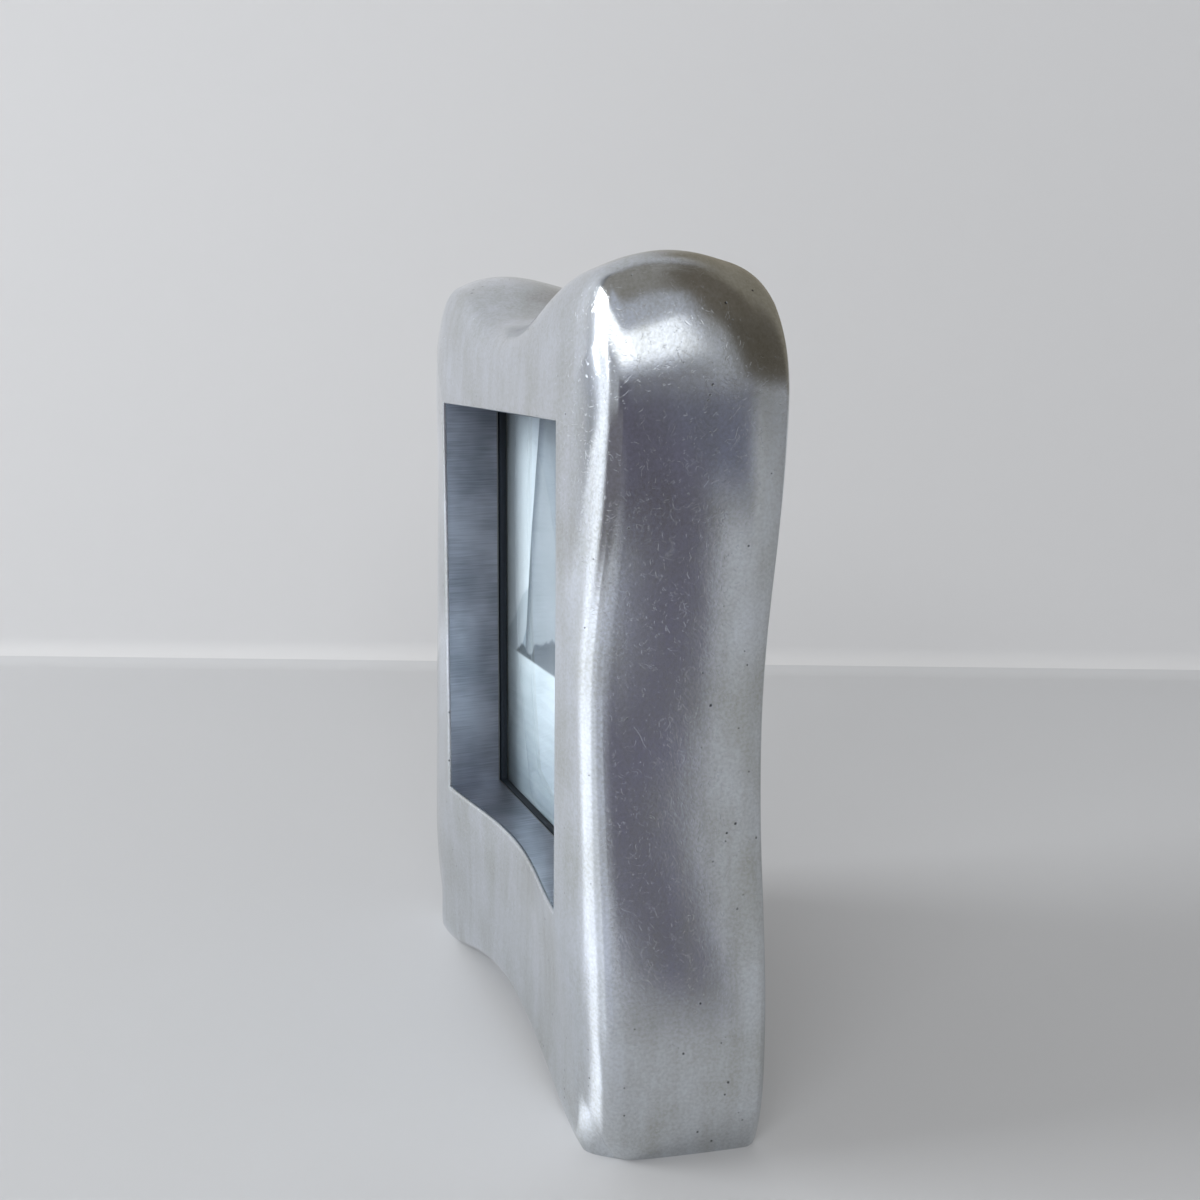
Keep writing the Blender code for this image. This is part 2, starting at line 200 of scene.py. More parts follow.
@dataclass(frozen=True)
class PolishedCasting(Finish):
    """Sand-cast aluminium alloy, belt-ground and then polished by hand.

    The metal is a soft mirror. It is sharpest where hands and cloths reach most, on the ears
    and along the front ridge, and satin on the flat front. Gas pores opened by the polishing
    lie as dark specks, alone and in patches, and hairline scratches run all ways. The real
    scratches are a few hundredths of a millimetre wide and are drawn four times as wide, so
    that they show. Tones and spans are shares of a pattern's height, and pairs named satin to
    polished follow the piece's polish attribute.
    """

    name: ClassVar[str] = "hand-polished cast aluminium"
    metal: str = "#ced3db"
    tarnish: str = "#abadaa"
    pore: str = "#43454a"
    satin_to_polished_roughness: Span = (0.31, 0.16)
    patch_size: float = 17 * MM
    streak_width: float = 3.0 * MM
    streak_stretch: float = 0.12
    grain_size: float = 0.6 * MM
    dent_size: float = 6.0 * MM
    grain_span: Span = (0.35, 0.68)
    grain_tone: Span = (-0.12, 0.16)
    streak_tone: float = 0.6
    patch_tone: float = 1.1
    tarnish_span: Span = (0.45, 1.30)
    patch_roughness: float = 0.14
    streak_roughness: float = 0.10
    grain_roughness: float = 0.08
    scratch_roughness: float = 0.10
    satin_to_polished_grain_in_mm: Span = (0.014, 0.005)
    dent_depth_in_mm: float = 0.035
    scratch_depth_in_mm: float = 0.009
    pore_depth_in_mm: float = 0.06
    pore_spacing: float = 1.9 * MM
    pore_crowding: float = 1.4
    pore_span: Span = (1.25, 2.05)
    pore_radius: float = 0.24
    pore_core: float = 0.4
    scratch_lengths: tuple[float, ...] = (2.4 * MM, 4.2 * MM, 7.5 * MM)
    scratch_shifts: tuple[float, ...] = (0.31, 0.72, 1.43)
    scratch_edge: Span = (0.012, 0.002)
    scratch_break: float = 0.45
    scratch_gaps: Span = (0.56, 0.62)
    satin_to_polished_scratches: Span = (0.25, 1.0)

    def look(self, add: Add, place: NodeSocket) -> Look:
        """Draws tarnish in patches and streaks, and the grain, dents, pores and scratches.

        Args:
            add: Adds a node to the material.
            place: Object coordinates.

        Returns:
            What the shader gets.
        """
        polish = add(ATTRIBUTE, output="Fac", attribute_name="polish")
        patches = add(NOISE, {"Vector": place, "Scale": per(self.patch_size), "Detail": 3.0})
        grain = add(NOISE, {"Vector": place, "Scale": per(self.grain_size), "Detail": 2.0})
        upright = add(MAPPING, {"Vector": place, "Scale": (1.0, 1.0, self.streak_stretch)})
        streaks = add(NOISE, {"Vector": upright, "Scale": per(self.streak_width), "Detail": 2.0})
        dents = add(NOISE, {"Vector": place, "Scale": per(self.dent_size), "Detail": 1.0})
        pores = self.pores(add, place, patches)
        scratches = self.scratches(add, place, polish)

        tone = add(RANGE, (grain, *self.grain_span, *self.grain_tone))
        for pattern, share in ((streaks, self.streak_tone), (patches, self.patch_tone)):
            tone = add(MATH, (pattern, share, tone), operation="MULTIPLY_ADD")
        share = add(RANGE, (tone, *self.tarnish_span))
        colour = add(MIX, (share, self.metal, self.tarnish), data_type="RGBA")
        colour = add(MIX, (pores, colour, self.pore), data_type="RGBA")

        roughness = add(RANGE, (polish, 0.0, 1.0, *self.satin_to_polished_roughness))
        for pattern, share in (
            (patches, self.patch_roughness),
            (streaks, self.streak_roughness),
            (grain, self.grain_roughness),
            (scratches, self.scratch_roughness),
        ):
            centred = add(MATH, (pattern, 0.5), operation="SUBTRACT")
            roughness = add(MATH, (centred, share, roughness), operation="MULTIPLY_ADD")

        grain_height = add(RANGE, (polish, 0.0, 1.0, *self.satin_to_polished_grain_in_mm))
        height = add(MATH, (grain, grain_height), operation="MULTIPLY")
        for pattern, depth in (
            (dents, self.dent_depth_in_mm),
            (scratches, -self.scratch_depth_in_mm),
            (pores, -self.pore_depth_in_mm),
        ):
            height = add(MATH, (pattern, depth, height), operation="MULTIPLY_ADD")
        return Look(colour, roughness, 1.0, height)

    def pores(self, add: Add, place: NodeSocket, patches: NodeSocket) -> NodeSocket:
        """Specks of unlike size, closer together where the patches are high.

        Args:
            add: Adds a node to the material.
            place: Object coordinates.
            patches: The pattern that crowds them.

        Returns:
            1 in a pore and 0 outside.
        """
        cells = add(CELLS, {"Vector": place, "Scale": per(self.pore_spacing)})
        pick = add("ShaderNodeSeparateColor", (cells.node.outputs["Color"],))
        crowd = add(MATH, (patches, self.pore_crowding, pick), operation="MULTIPLY_ADD")
        size = add(RANGE, (crowd, *self.pore_span, 0.0, self.pore_radius))
        core = add(MATH, (size, self.pore_core), operation="MULTIPLY")
        return add(RANGE, (cells, size, core))

    def scratches(self, add: Add, place: NodeSocket, polish: NodeSocket) -> NodeSocket:
        """Short curved hairlines that run all ways, closest together on the polished parts.

        Args:
            add: Adds a node to the material.
            place: Object coordinates.
            polish: How bright the skin is kept, 0 to 1.

        Returns:
            1 in a scratch and 0 outside.
        """
        total: NodeSocket | float = 0.0
        for length, shift in zip(self.scratch_lengths, self.scratch_shifts):
            moved = add(MAPPING, {"Vector": place, "Location": (shift, -shift, shift)})
            pattern = add(
                NOISE, {"Vector": moved, "Scale": per(length), "Detail": 2.0, "Distortion": 1.2}
            )
            away = add(MATH, (pattern, 0.5), operation="SUBTRACT")
            away = add(MATH, (away,), operation="ABSOLUTE")
            line = add(RANGE, (away, *self.scratch_edge))
            pattern = {"Vector": moved, "Scale": per(self.scratch_break * length), "Detail": 1.0}
            kept = add(RANGE, (add(NOISE, pattern), *self.scratch_gaps))
            line = add(MATH, (line, kept), operation="MULTIPLY")
            total = add(MATH, (total, line), operation="MAXIMUM")
        amount = add(RANGE, (polish, 0.0, 1.0, *self.satin_to_polished_scratches))
        return add(MATH, (total, amount), operation="MULTIPLY")


@dataclass(frozen=True)
class LinedMetal(Finish):
    """A metal with fine lines one way, uneven in depth, and with cloudy patches of its shade.

    A line's size is given along X, Y and Z. The shares say how much lines and patches add to
    the tone, and the shade runs over the tone's span.
    """

    metal: str
    shade: str
    roughness: float
    line: Point
    line_depth: float
    patch_size: float
    line_turn: float = 0.0
    line_detail: float = 3.0
    line_distortion: float = 0.2
    line_roughness: float = 0.16
    line_share: float = 1.0
    patch_detail: float = 2.0
    patch_share: float = 1.6
    shade_span: Span = (0.95, 1.65)

    def look(self, add: Add, place: NodeSocket) -> Look:
        """Draws the lines and the patches.

        Args:
            add: Adds a node to the material.
            place: Object coordinates.

        Returns:
            What the shader gets.
        """
        scale = [per(size) for size in self.line]
        turn = (0.0, self.line_turn, 0.0)
        stretched = add(MAPPING, {"Vector": place, "Rotation": turn, "Scale": scale})
        lines = add(
            NOISE,
            {
                "Vector": stretched,
                "Scale": 1.0,
                "Detail": self.line_detail,
                "Distortion": self.line_distortion,
            },
        )
        patch = {"Vector": place, "Scale": per(self.patch_size), "Detail": self.patch_detail}
        lined = add(MATH, (lines, self.line_share), operation="MULTIPLY")
        tone = add(MATH, (add(NOISE, patch), self.patch_share, lined), operation="MULTIPLY_ADD")
        share = add(RANGE, (tone, *self.shade_span))
        colour = add(MIX, (share, self.metal, self.shade), data_type="RGBA")
        least = self.roughness - self.line_roughness / 2
        roughness = add(MATH, (lines, self.line_roughness, least), operation="MULTIPLY_ADD")
        return Look(colour, roughness, 1.0, lines, self.line_depth)


@dataclass(frozen=True)
class FiledAluminium(LinedMetal):
    """Cast aluminium filed and brushed in one direction, as the window's walls are.

    Short strokes run from the front to the back and give a darker satin than the polished skin.
    """

    name: ClassVar[str] = "filed aluminium"
    metal: str = "#cdd3de"
    shade: str = "#9aa1ad"
    roughness: float = 0.40
    line: Point = (0.34 * MM, 9 * MM, 0.34 * MM)
    line_depth: float = 0.03 * MM
    patch_size: float = 11 * MM


@dataclass(frozen=True)
class BeltGroundAluminium(FiledAluminium):
    """The flat back of the casting, ground on a belt: long straight strokes up and down."""

    name: ClassVar[str] = "belt-ground aluminium"
    metal: str = "#c6c8c9"
    shade: str = "#abaeb0"
    roughness: float = 0.30
    line: Point = (0.34 * MM, 0.34 * MM, 45 * MM)
    line_depth: float = 0.008 * MM


@dataclass(frozen=True)
class PlatedSteel(LinedMetal):
    """Steel stamped and bright nickel-plated, cloudy and hairline-marked by handling."""

    name: ClassVar[str] = "nickel-plated steel"
    metal: str = "#bdb8ad"
    shade: str = "#9d988e"
    roughness: float = 0.26
    line: Point = (4 * MM, 4 * MM, 0.18 * MM)
    line_depth: float = 0.006 * MM
    patch_size: float = 2.5 * MM
    line_turn: float = 0.5
    line_detail: float = 2.0
    line_distortion: float = 0.0
    # The foam band's inner outline, which shows as a black line round the picture: black rubber,
    # and painted shade of the gap under the window's lip.
    line_share: float = 0.0
    patch_detail: float = 4.0
    patch_share: float = 1.0
    shade_span: Span = (0.0, 1.0)


@dataclass(frozen=True)
class ZincPlate(PlatedSteel):
    """Bright zinc on turned steel: colder and a little cloudy."""

    name: ClassVar[str] = "zinc-plated steel"
    metal: str = "#c6cacc"
    shade: str = "#a4a9ad"
    roughness: float = 0.24
    line: Point = (1.5 * MM, 1.5 * MM, 0.12 * MM)


@dataclass(frozen=True)
class SandCastSkin(Finish):
    """Aluminium as it left the sand mould, in the pocket and the rebate at the back.

    The sand's grain gives a dull grey pebbled skin with a few deeper pits.
    """

    name: ClassVar[str] = "as-cast aluminium"
    metal: str = "#a6a8a8"
    shade: str = "#8b8d8c"
    roughness: float = 0.52
    grain_size: float = 0.7 * MM
    grain_height: float = 0.10 * MM
    cloud_size: float = 9 * MM

    def look(self, add: Add, place: NodeSocket) -> Look:
        """Draws the sand's grain under a cloudy grey.

        Args:
            add: Adds a node to the material.
            place: Object coordinates.

        Returns:
            What the shader gets.
        """
        grain = add(CELLS, {"Vector": place, "Scale": per(self.grain_size)}, feature="SMOOTH_F1")
        cloud = add(NOISE, {"Vector": place, "Scale": per(self.cloud_size), "Detail": 4.0})
        colour = add(MIX, (cloud, self.metal, self.shade), data_type="RGBA")
        return Look(colour, self.roughness, 1.0, grain, self.grain_height)


@dataclass(frozen=True)
class BlackFoamWithGapShade(Finish):
    """Closed-cell rubber foam band: matt black with a fine open cut face. Its blue-black is also
    painted shade, standing for the dark gap under the window's lip.
    """

    name: ClassVar[str] = "black cellular rubber"
    # Blue-black: the rubber's own colour and painted shade of the gap under the window's lip
    rubber_with_gap_shade: str = "#18242f"
    cell: str = "#0a1118"
    roughness: float = 0.82
    cell_size: float = 0.35 * MM
    cell_depth: float = 0.05 * MM

    def look(self, add: Add, place: NodeSocket) -> Look:
        """Draws the cut cells.

        Args:
            add: Adds a node to the material.
            place: Object coordinates.

        Returns:
            What the shader gets.
        """
        cells = add(CELLS, {"Vector": place, "Scale": per(self.cell_size)})
        colour = add(MIX, (cells, self.cell, self.rubber_with_gap_shade), data_type="RGBA")
        return Look(colour, self.roughness, 0.0, cells, self.cell_depth)


@dataclass(frozen=True)
class PictureGlass(Finish):
    """Clear float glass, 2 mm: all but colourless, with a trace of haze left by wiping.

    Lamps shine through it unbent, so that the picture behind it is lit.
    """

    name: ClassVar[str] = "clear float glass"
    tint: str = "#f8fbfb"
    shadow_tint: str = "#f6f9f9"
    ior: float = 1.52
    haze_size: float = 14 * MM
    haze_span: Span = (0.45, 0.8)
    haze_roughness: float = 0.05

    def look(self, add: Add, place: NodeSocket) -> Look:
        """Draws the haze as roughness."""
        haze = add(NOISE, {"Vector": place, "Scale": per(self.haze_size), "Detail": 5.0})
        return Look(self.tint, add(RANGE, (haze, *self.haze_span, 0.0, self.haze_roughness)))

    def surface(self, add: Add, shader: Node) -> NodeSocket:
        """The glass, which is plainly transparent to a lamp's rays.

        Args:
            add: Adds a node to the material.
            shader: The material's shader.

        Returns:
            The mixed surface.
        """
        feed(shader, {"IOR": self.ior, "Transmission Weight": 1.0})
        through = add("ShaderNodeBsdfTransparent", {"Color": self.shadow_tint})
        lamp_ray = add("ShaderNodeLightPath", output="Is Shadow Ray")
        return add("ShaderNodeMixShader", (lamp_ray, shader.outputs[0], through))


class Hill(NamedTuple):
    """One layer of hills in the picture: how high it stands and how it is drawn."""

    height: float
    slope: float
    rise: float
    width: float
    shift: float
    colour: str


@dataclass(frozen=True)
class PrintedLandscape(Finish):
    """Satin photo paper with a cool monochrome view of hills above a lake in mist.

    The emulsion has a soft shine. Places and sizes in the picture are shares of the sheet.
    """

    name: ClassVar[str] = "satin photo paper"
    high_sky: str = "#c6d0da"
    low_sky: str = "#dee6ee"
    water: str = "#dae5ee"
    deep_water: str = "#8a98a5"
    roughness: float = 0.34
    emulsion_size: float = 0.6 * MM
    emulsion_height: float = 0.006 * MM
    cloud_lift: float = 0.5
    sky_span: Span = (0.85, 1.35)
    grain_scale: float = 420.0
    grain_share: float = 0.25
    edge: float = 0.008
    mist_depth: float = 0.22
    mist_share: float = 0.35
    shore: float = 0.38
    shore_edge: float = 0.006
    ripple_stretch: Point = (5.0, 1.0, 60.0)
    ripple_share: float = 0.22
    depth_span: Span = (0.12, 0.48)
    hills: tuple[Hill, ...] = (
        Hill(0.42, 0.62, 0.09, 0.9, 3.1, "#c0cad4"),
        Hill(0.22, 1.30, 0.08, 1.5, 7.7, "#98a6b2"),
        Hill(-0.36, 4.60, 0.11, 2.3, 12.4, "#56636f"),
        Hill(0.36, 0.24, 0.05, 3.6, 21.9, "#404d58"),
    )

    def look(self, add: Add, place: NodeSocket) -> Look:
        """Draws the sky, the hills from far to near, the lake and the paper's grain.

        Args:
            add: Adds a node to the material.
            place: Object coordinates.

        Returns:
            What the shader gets.
        """
        low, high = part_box("photo_print")
        width, height = high.x - low.x, high.z - low.z
        shift, scale = (-low.x / width, 0.0, -low.z / height), (1 / width, 0.0, 1 / height)
        sheet = add(MAPPING, {"Vector": place, "Location": shift, "Scale": scale})
        axes = add(AXES, (sheet,)).node.outputs
        across, up = axes["X"], axes["Z"]

        cloud = add(NOISE, {"Vector": sheet, "Scale": 3.0, "Detail": 5.0, "Distortion": 0.6})
        lift = add(MATH, (cloud, self.cloud_lift, up), operation="MULTIPLY_ADD")
        sky = add(RANGE, (lift, *self.sky_span))
        picture = add(MIX, (sky, self.low_sky, self.high_sky), data_type="RGBA")
        for hill in self.hills:
            there, shade = self.hill(add, across, up, hill)
            picture = add(MIX, (there, picture, shade), data_type="RGBA")
        there = add(RANGE, (up, self.shore, self.shore - self.shore_edge))
        picture = add(MIX, (there, picture, self.lake(add, sheet, up)), data_type="RGBA")
        grain = add(NOISE, {"Vector": sheet, "Scale": self.grain_scale})
        grained = (self.grain_share, picture, grain)
        picture = add(MIX, grained, data_type="RGBA", blend_type="SOFT_LIGHT")
        emulsion = {"Vector": place, "Scale": per(self.emulsion_size), "Detail": 2.0}
        return Look(picture, self.roughness, 0.0, add(NOISE, emulsion), self.emulsion_height)

    def hill(
        self, add: Add, across: NodeSocket, up: NodeSocket, hill: Hill
    ) -> tuple[NodeSocket, NodeSocket]:
        """Draws one layer of hills, paler in the mist at its foot.

        Args:
            add: Adds a node to the material.
            across: Place across the sheet, 0 to 1.
            up: Place up the sheet, 0 to 1.
            hill: The layer's height, shape and colour.

        Returns:
            1 where the layer stands and 0 above it, and its colour.
        """
        along = add(MATH, (across, hill.width, hill.shift), operation="MULTIPLY_ADD")
        jagged = {"W": along, "Scale": 2.0, "Detail": 6.0, "Roughness": 0.45}
        skyline = add(NOISE, jagged, noise_dimensions="1D")
        foot = hill.height - hill.rise
        lean = add(MATH, (across, hill.slope, foot), operation="MULTIPLY_ADD")
        crest = add(MATH, (skyline, 2 * hill.rise, lean), operation="MULTIPLY_ADD")
        above = add(MATH, (crest, up), operation="SUBTRACT")
        mist = add(RANGE, (above, 0.0, self.mist_depth, 0.0, self.mist_share))
        shade = add(MIX, (mist, hill.colour, self.low_sky), data_type="RGBA")
        return add(RANGE, (above, 0.0, self.edge)), shade

    def lake(self, add: Add, sheet: NodeSocket, up: NodeSocket) -> NodeSocket:
        """The lake's colour, darker and more rippled when near.

        Args:
            add: Adds a node to the material.
            sheet: Place on the sheet.
            up: Place up the sheet, 0 to 1.

        Returns:
            The colour.
        """
        flat = add(MAPPING, {"Vector": sheet, "Scale": self.ripple_stretch})
        ripple = add(NOISE, {"Vector": flat, "Scale": 1.0, "Detail": 4.0, "Distortion": 0.5})
        depth = add(MATH, (ripple, self.ripple_share, up), operation="MULTIPLY_ADD")
        shade = add(RANGE, (depth, *self.depth_span))
        return add(MIX, (shade, self.deep_water, self.water), data_type="RGBA")


@dataclass(frozen=True)
class Hardboard(Finish):
    """Wet-pressed hardboard: brown fibres, with the press screen's mesh marked in its back."""

    name: ClassVar[str] = "brown hardboard"
    fibre: str = "#7a5738"
    dark_fibre: str = "#553a24"
    roughness: float = 0.78
    fibre_size: float = 0.9 * MM
    fibre_height_in_mm: float = 0.03
    cloud_size: float = 22 * MM
    cloud_share: float = 0.5
    tone_span: Span = (0.45, 1.05)
    mesh_pitch: float = 1.5 * MM
    mesh_depth_in_mm: float = 0.10

    def look(self, add: Add, place: NodeSocket) -> Look:
        """Draws the fibres and the small square cushions between the screen's wires.

        Args:
            add: Adds a node to the material.
            place: Object coordinates.

        Returns:
            What the shader gets.
        """
        fibre = {"Scale": per(self.fibre_size), "Detail": 4.0, "Roughness": 0.65}
        fibres = add(NOISE, {"Vector": place, **fibre, "Distortion": 1.2})
        cloud = add(NOISE, {"Vector": place, "Scale": per(self.cloud_size), "Detail": 2.0})
        tone = add(MATH, (cloud, self.cloud_share, fibres), operation="MULTIPLY_ADD")
        share = add(RANGE, (tone, *self.tone_span))
        colour = add(MIX, (share, self.dark_fibre, self.fibre), data_type="RGBA")
        mesh: NodeSocket | float = 1.0
        axes = add(AXES, (place,)).node.outputs
        for axis in ("X", "Z"):
            wave = add(MATH, (axes[axis], math.pi / self.mesh_pitch), operation="MULTIPLY")
            for operation in ("SINE", "ABSOLUTE"):
                wave = add(MATH, (wave,), operation=operation)
            mesh = add(MATH, (mesh, wave), operation="MULTIPLY")
        mesh = add(MATH, (mesh, 0.5), operation="POWER")
        colour = add(MIX, (mesh, self.dark_fibre, colour), data_type="RGBA")
        height = add(MATH, (mesh, self.mesh_depth_in_mm), operation="MULTIPLY")
        height = add(MATH, (fibres, self.fibre_height_in_mm, height), operation="MULTIPLY_ADD")
        return Look(colour, self.roughness, 0.0, height)


@dataclass(frozen=True)
class PlainSurface(Finish):
    """A plain matt surface of the studio, such as painted board.

    In gloss it shows painted light and shade: it goes from one tone near the frame to another in
    front of it, as a table does beside a window, between the two distances forward of the origin.
    """

    name: str
    colour: str
    gloss_near: str
    gloss_far: str
    gloss_from: float
    gloss_to: float
    roughness: float = 0.7

    def look(self, add: Add, place: NodeSocket) -> Look:
        """Sets one colour for the camera and another for gloss.

        Args:
            add: Adds a node to the material.
            place: Object coordinates.

        Returns:
            What the shader gets.
        """
        # The gloss tones are painted light and shade, seen only in reflections
        forward = add(AXES, (place,)).node.outputs["Y"]
        span = (forward, -self.gloss_from, -self.gloss_to)
        lit = add(RANGE, span, interpolation_type="SMOOTHSTEP")
        in_gloss = add(MIX, (lit, self.gloss_near, self.gloss_far), data_type="RGBA")
        gloss = add("ShaderNodeLightPath", output="Is Glossy Ray")
        return Look(add(MIX, (gloss, self.colour, in_gloss), data_type="RGBA"), self.roughness)


# Pieces and how they are handed over


class Body(Enum):
    """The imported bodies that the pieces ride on."""

    FRAME = "frame"
    BUTTON_1 = "turn_button_1"
    BUTTON_2 = "turn_button_2"
    BUTTON_3 = "turn_button_3"
    BUTTON_4 = "turn_button_4"


def hand_over(piece: Object, body: Body, slot: str, *replaced: str) -> None:
    """Puts a finished piece on its body, in place of the solids that it stands for.

    Args:
        piece: The piece.
        body: What it moves with.
        slot: The name of its material slot; not used.
        replaced: The nodes that it stands for.
    """
    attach(piece, body.value)
    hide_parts(*replaced)
    faces = len(piece.data.polygons)
    log.info("%s rides on %s with %d faces", piece.name, body.value, faces)


def link_new(name: str, data: Any) -> Object:
    """A new object at the origin that shows the data.

    Args:
        name: The object's name.
        data: A mesh, lamp or camera.

    Returns:
        The object.
    """
    made = bpy.data.objects.new(name, data)
    bpy.context.scene.collection.objects.link(made)
    return made


def as_piece(name: str, mesh: Mesh, sharp_degrees: float = 35.0) -> Object:
    """Shades a mesh smooth up to an angle and links it as an object at the origin.

    Args:
        name: The name of the mesh and its object.
        mesh: The mesh.
        sharp_degrees: Edges steeper than this stay sharp.

    Returns:
        The object.
    """
    mesh.name = name
    mesh.shade_smooth()
    mesh.set_sharp_from_angle(angle=math.radians(sharp_degrees))
    return link_new(name, mesh)


def mesh_from(bm: bmesh.types.BMesh, name: str) -> Mesh:
    """Merges doubles, points the faces outwards and gives the mesh.

    Args:
        bm: What is built so far, which is freed.
        name: The mesh's name.

    Returns:
        The mesh.
    """
    bmesh.ops.remove_doubles(bm, verts=bm.verts, dist=DOUBLES)
    bmesh.ops.recalc_face_normals(bm, faces=bm.faces)
    mesh = bpy.data.meshes.new(name)
    bm.to_mesh(mesh)
    bm.free()
    return mesh


def baked(source: Object, *helpers: Object) -> Mesh:
    """Bakes an object's modifiers into a plain mesh and removes the objects.

    Args:
        source: The object with the modifiers.
        helpers: Other objects that they use.

    Returns:
        The mesh.
    """
    bpy.context.view_layer.update()
    depsgraph = bpy.context.evaluated_depsgraph_get()
    mesh = bpy.data.meshes.new_from_object(source.evaluated_get(depsgraph))
    source.modifiers.clear()
    for done in (source, *helpers):
        bpy.data.objects.remove(done)
    return mesh


def combined(piece: Object, operation: str, tool: Object) -> Mesh:
    """Joins a piece to another or cuts it with the other, and removes both.

    Args:
        piece: The piece.
        operation: What the Boolean modifier does, UNION or DIFFERENCE.
        tool: The other piece.

    Returns:
        The mesh that results.
    """
    change = piece.modifiers.new("change", "BOOLEAN")
    change.operation = operation
    change.solver = "EXACT"
    change.object = tool
    return baked(piece, tool)


def arc(centre: Span, radius: float, start: float, end: float, steps: int) -> list[Span]:
    """Points along an arc.

    Args:
        centre: The arc's centre.
        radius: Its radius.
        start: The first point's angle in radians.
        end: The last point's angle.
        steps: How many straight steps it has.

    Returns:
        One more point than there are steps.
    """
    return [
        (centre[0] + radius * math.cos(angle), centre[1] + radius * math.sin(angle))
        for angle in np.linspace(start, end, steps + 1)
    ]


def start_tree(name: str, sockets: dict[str, str]) -> tuple[NodeTree, Add, Any]:
    """Starts a geometry tree with named inputs and one geometry output.

    Args:
        name: The tree's name.
        sockets: For each input's name, what its kind is called after NodeSocket.

    Returns:
        The tree, what adds a node to it, and the sockets of its inputs by name.
    """
    tree = bpy.data.node_groups.new(name, "GeometryNodeTree")
    for label, kind in sockets.items():
        tree.interface.new_socket(label, in_out="INPUT", socket_type=f"NodeSocket{kind}")
    tree.interface.new_socket("Geometry", in_out="OUTPUT", socket_type="NodeSocketGeometry")
    return tree, partial(add_node, tree), tree.nodes.new("NodeGroupInput").outputs


def run_tree(source: Object, tree: NodeTree, values: dict[str, Any]) -> Mesh:
    """Runs a geometry tree on an object, which is then removed, and bakes what it makes.

    Args:
        source: The object that carries the points or the mesh to start from.
        tree: The geometry tree.
        values: A value for each named input.

    Returns:
        A plain mesh.
    """
    modifier = source.modifiers.new(tree.name, "NODES")
    modifier.node_group = tree
    inputs = [item for item in tree.interface.items_tree if item.in_out == "INPUT"]
    identifiers = {item.name: item.identifier for item in inputs}
    for name, value in values.items():
        modifier[identifiers[name]] = value
    source.update_tag()
    mesh = baked(source)
    # Empty material slots come out, and the faces' slot numbers move down with them
    filled = [material is not None for material in mesh.materials]
    used = [material for material in mesh.materials if material is not None]
    slots = np.zeros(len(mesh.polygons), dtype=np.int32)
    mesh.polygons.foreach_get("material_index", slots)
    mesh.materials.clear()
    for material in used:
        mesh.materials.append(material)
    new_slots = np.cumsum(filled) - 1
    mesh.polygons.foreach_set("material_index", new_slots[slots].astype(np.int32))
    return mesh


class RimSection(NamedTuple):
    """The rim's cross-section at one named place.

    ridge_inset and back_inset say how far the front ridge and the back edge lie inside the
    outline, ridge_fall how far the ridge lies behind the face, widest_at at which share of
    the depth the rim is widest, the rolls which share of each flank is rounded away, back_round
    how far the back edge's rounding reaches, and polish how bright its ridge is kept.
    """

    ridge_inset: float
    ridge_fall: float
    widest_at: float
    back_inset: float
    face_roll: float
    ridge_roll: float
    side_roll: float
    back_round: float
    polish: float


SECTIONS = {
    "saddle": RimSection(2.6 * MM, 1.2 * MM, 0.50, 1.8 * MM, 0.38, 0.32, 0.36, 2.0 * MM, 0.6),
    "ear_top": RimSection(6.8 * MM, 1.3 * MM, 0.47, 4.0 * MM, 0.58, 0.34, 0.49, 5.8 * MM, 1.0),
    "ear_side": RimSection(10.0 * MM, 2.1 * MM, 0.78, 0.4 * MM, 0.69, 0.13, 0.37, 3.2 * MM, 1.0),
    "waist": RimSection(7.8 * MM, 0.2 * MM, 0.85, 1.2 * MM, 0.69, 0.13, 0.37, 1.3 * MM, 0.55),
    "foot_side": RimSection(10.8 * MM, 0.4 * MM, 0.94, 1.1 * MM, 0.69, 0.13, 0.37, 1.0 * MM, 0.5),
    "foot_outer": RimSection(5.2 * MM, 1.1 * MM, 0.92, 1.0 * MM, 0.49, 0.26, 0.25, 1.0 * MM, 0.45),
    "foot_inner": RimSection(2.2 * MM, 0.9 * MM, 0.90, 0.8 * MM, 0.15, 0.10, 0.10, 0.8 * MM, 0.4),
    "arch": RimSection(0.9 * MM, 2.5 * MM, 0.90, 0.8 * MM, 0.08, 0.08, 0.08, 0.8 * MM, 0.4),
}
PLACES = {name: place for place, name in enumerate(SECTIONS)}


class Outfit(Enum):
    """Which finish a stretch of the casting's section has."""

    POLISHED = 0
    BELT_GROUND = 1
    AS_CAST = 2
    FILED = 3


class Corner(NamedTuple):
    """One corner of the casting's section, before it is rounded."""

    point: np.ndarray
    share_before: float
    share_after: float
    polish: float
    roll_finish: Outfit
    run_finish: Outfit


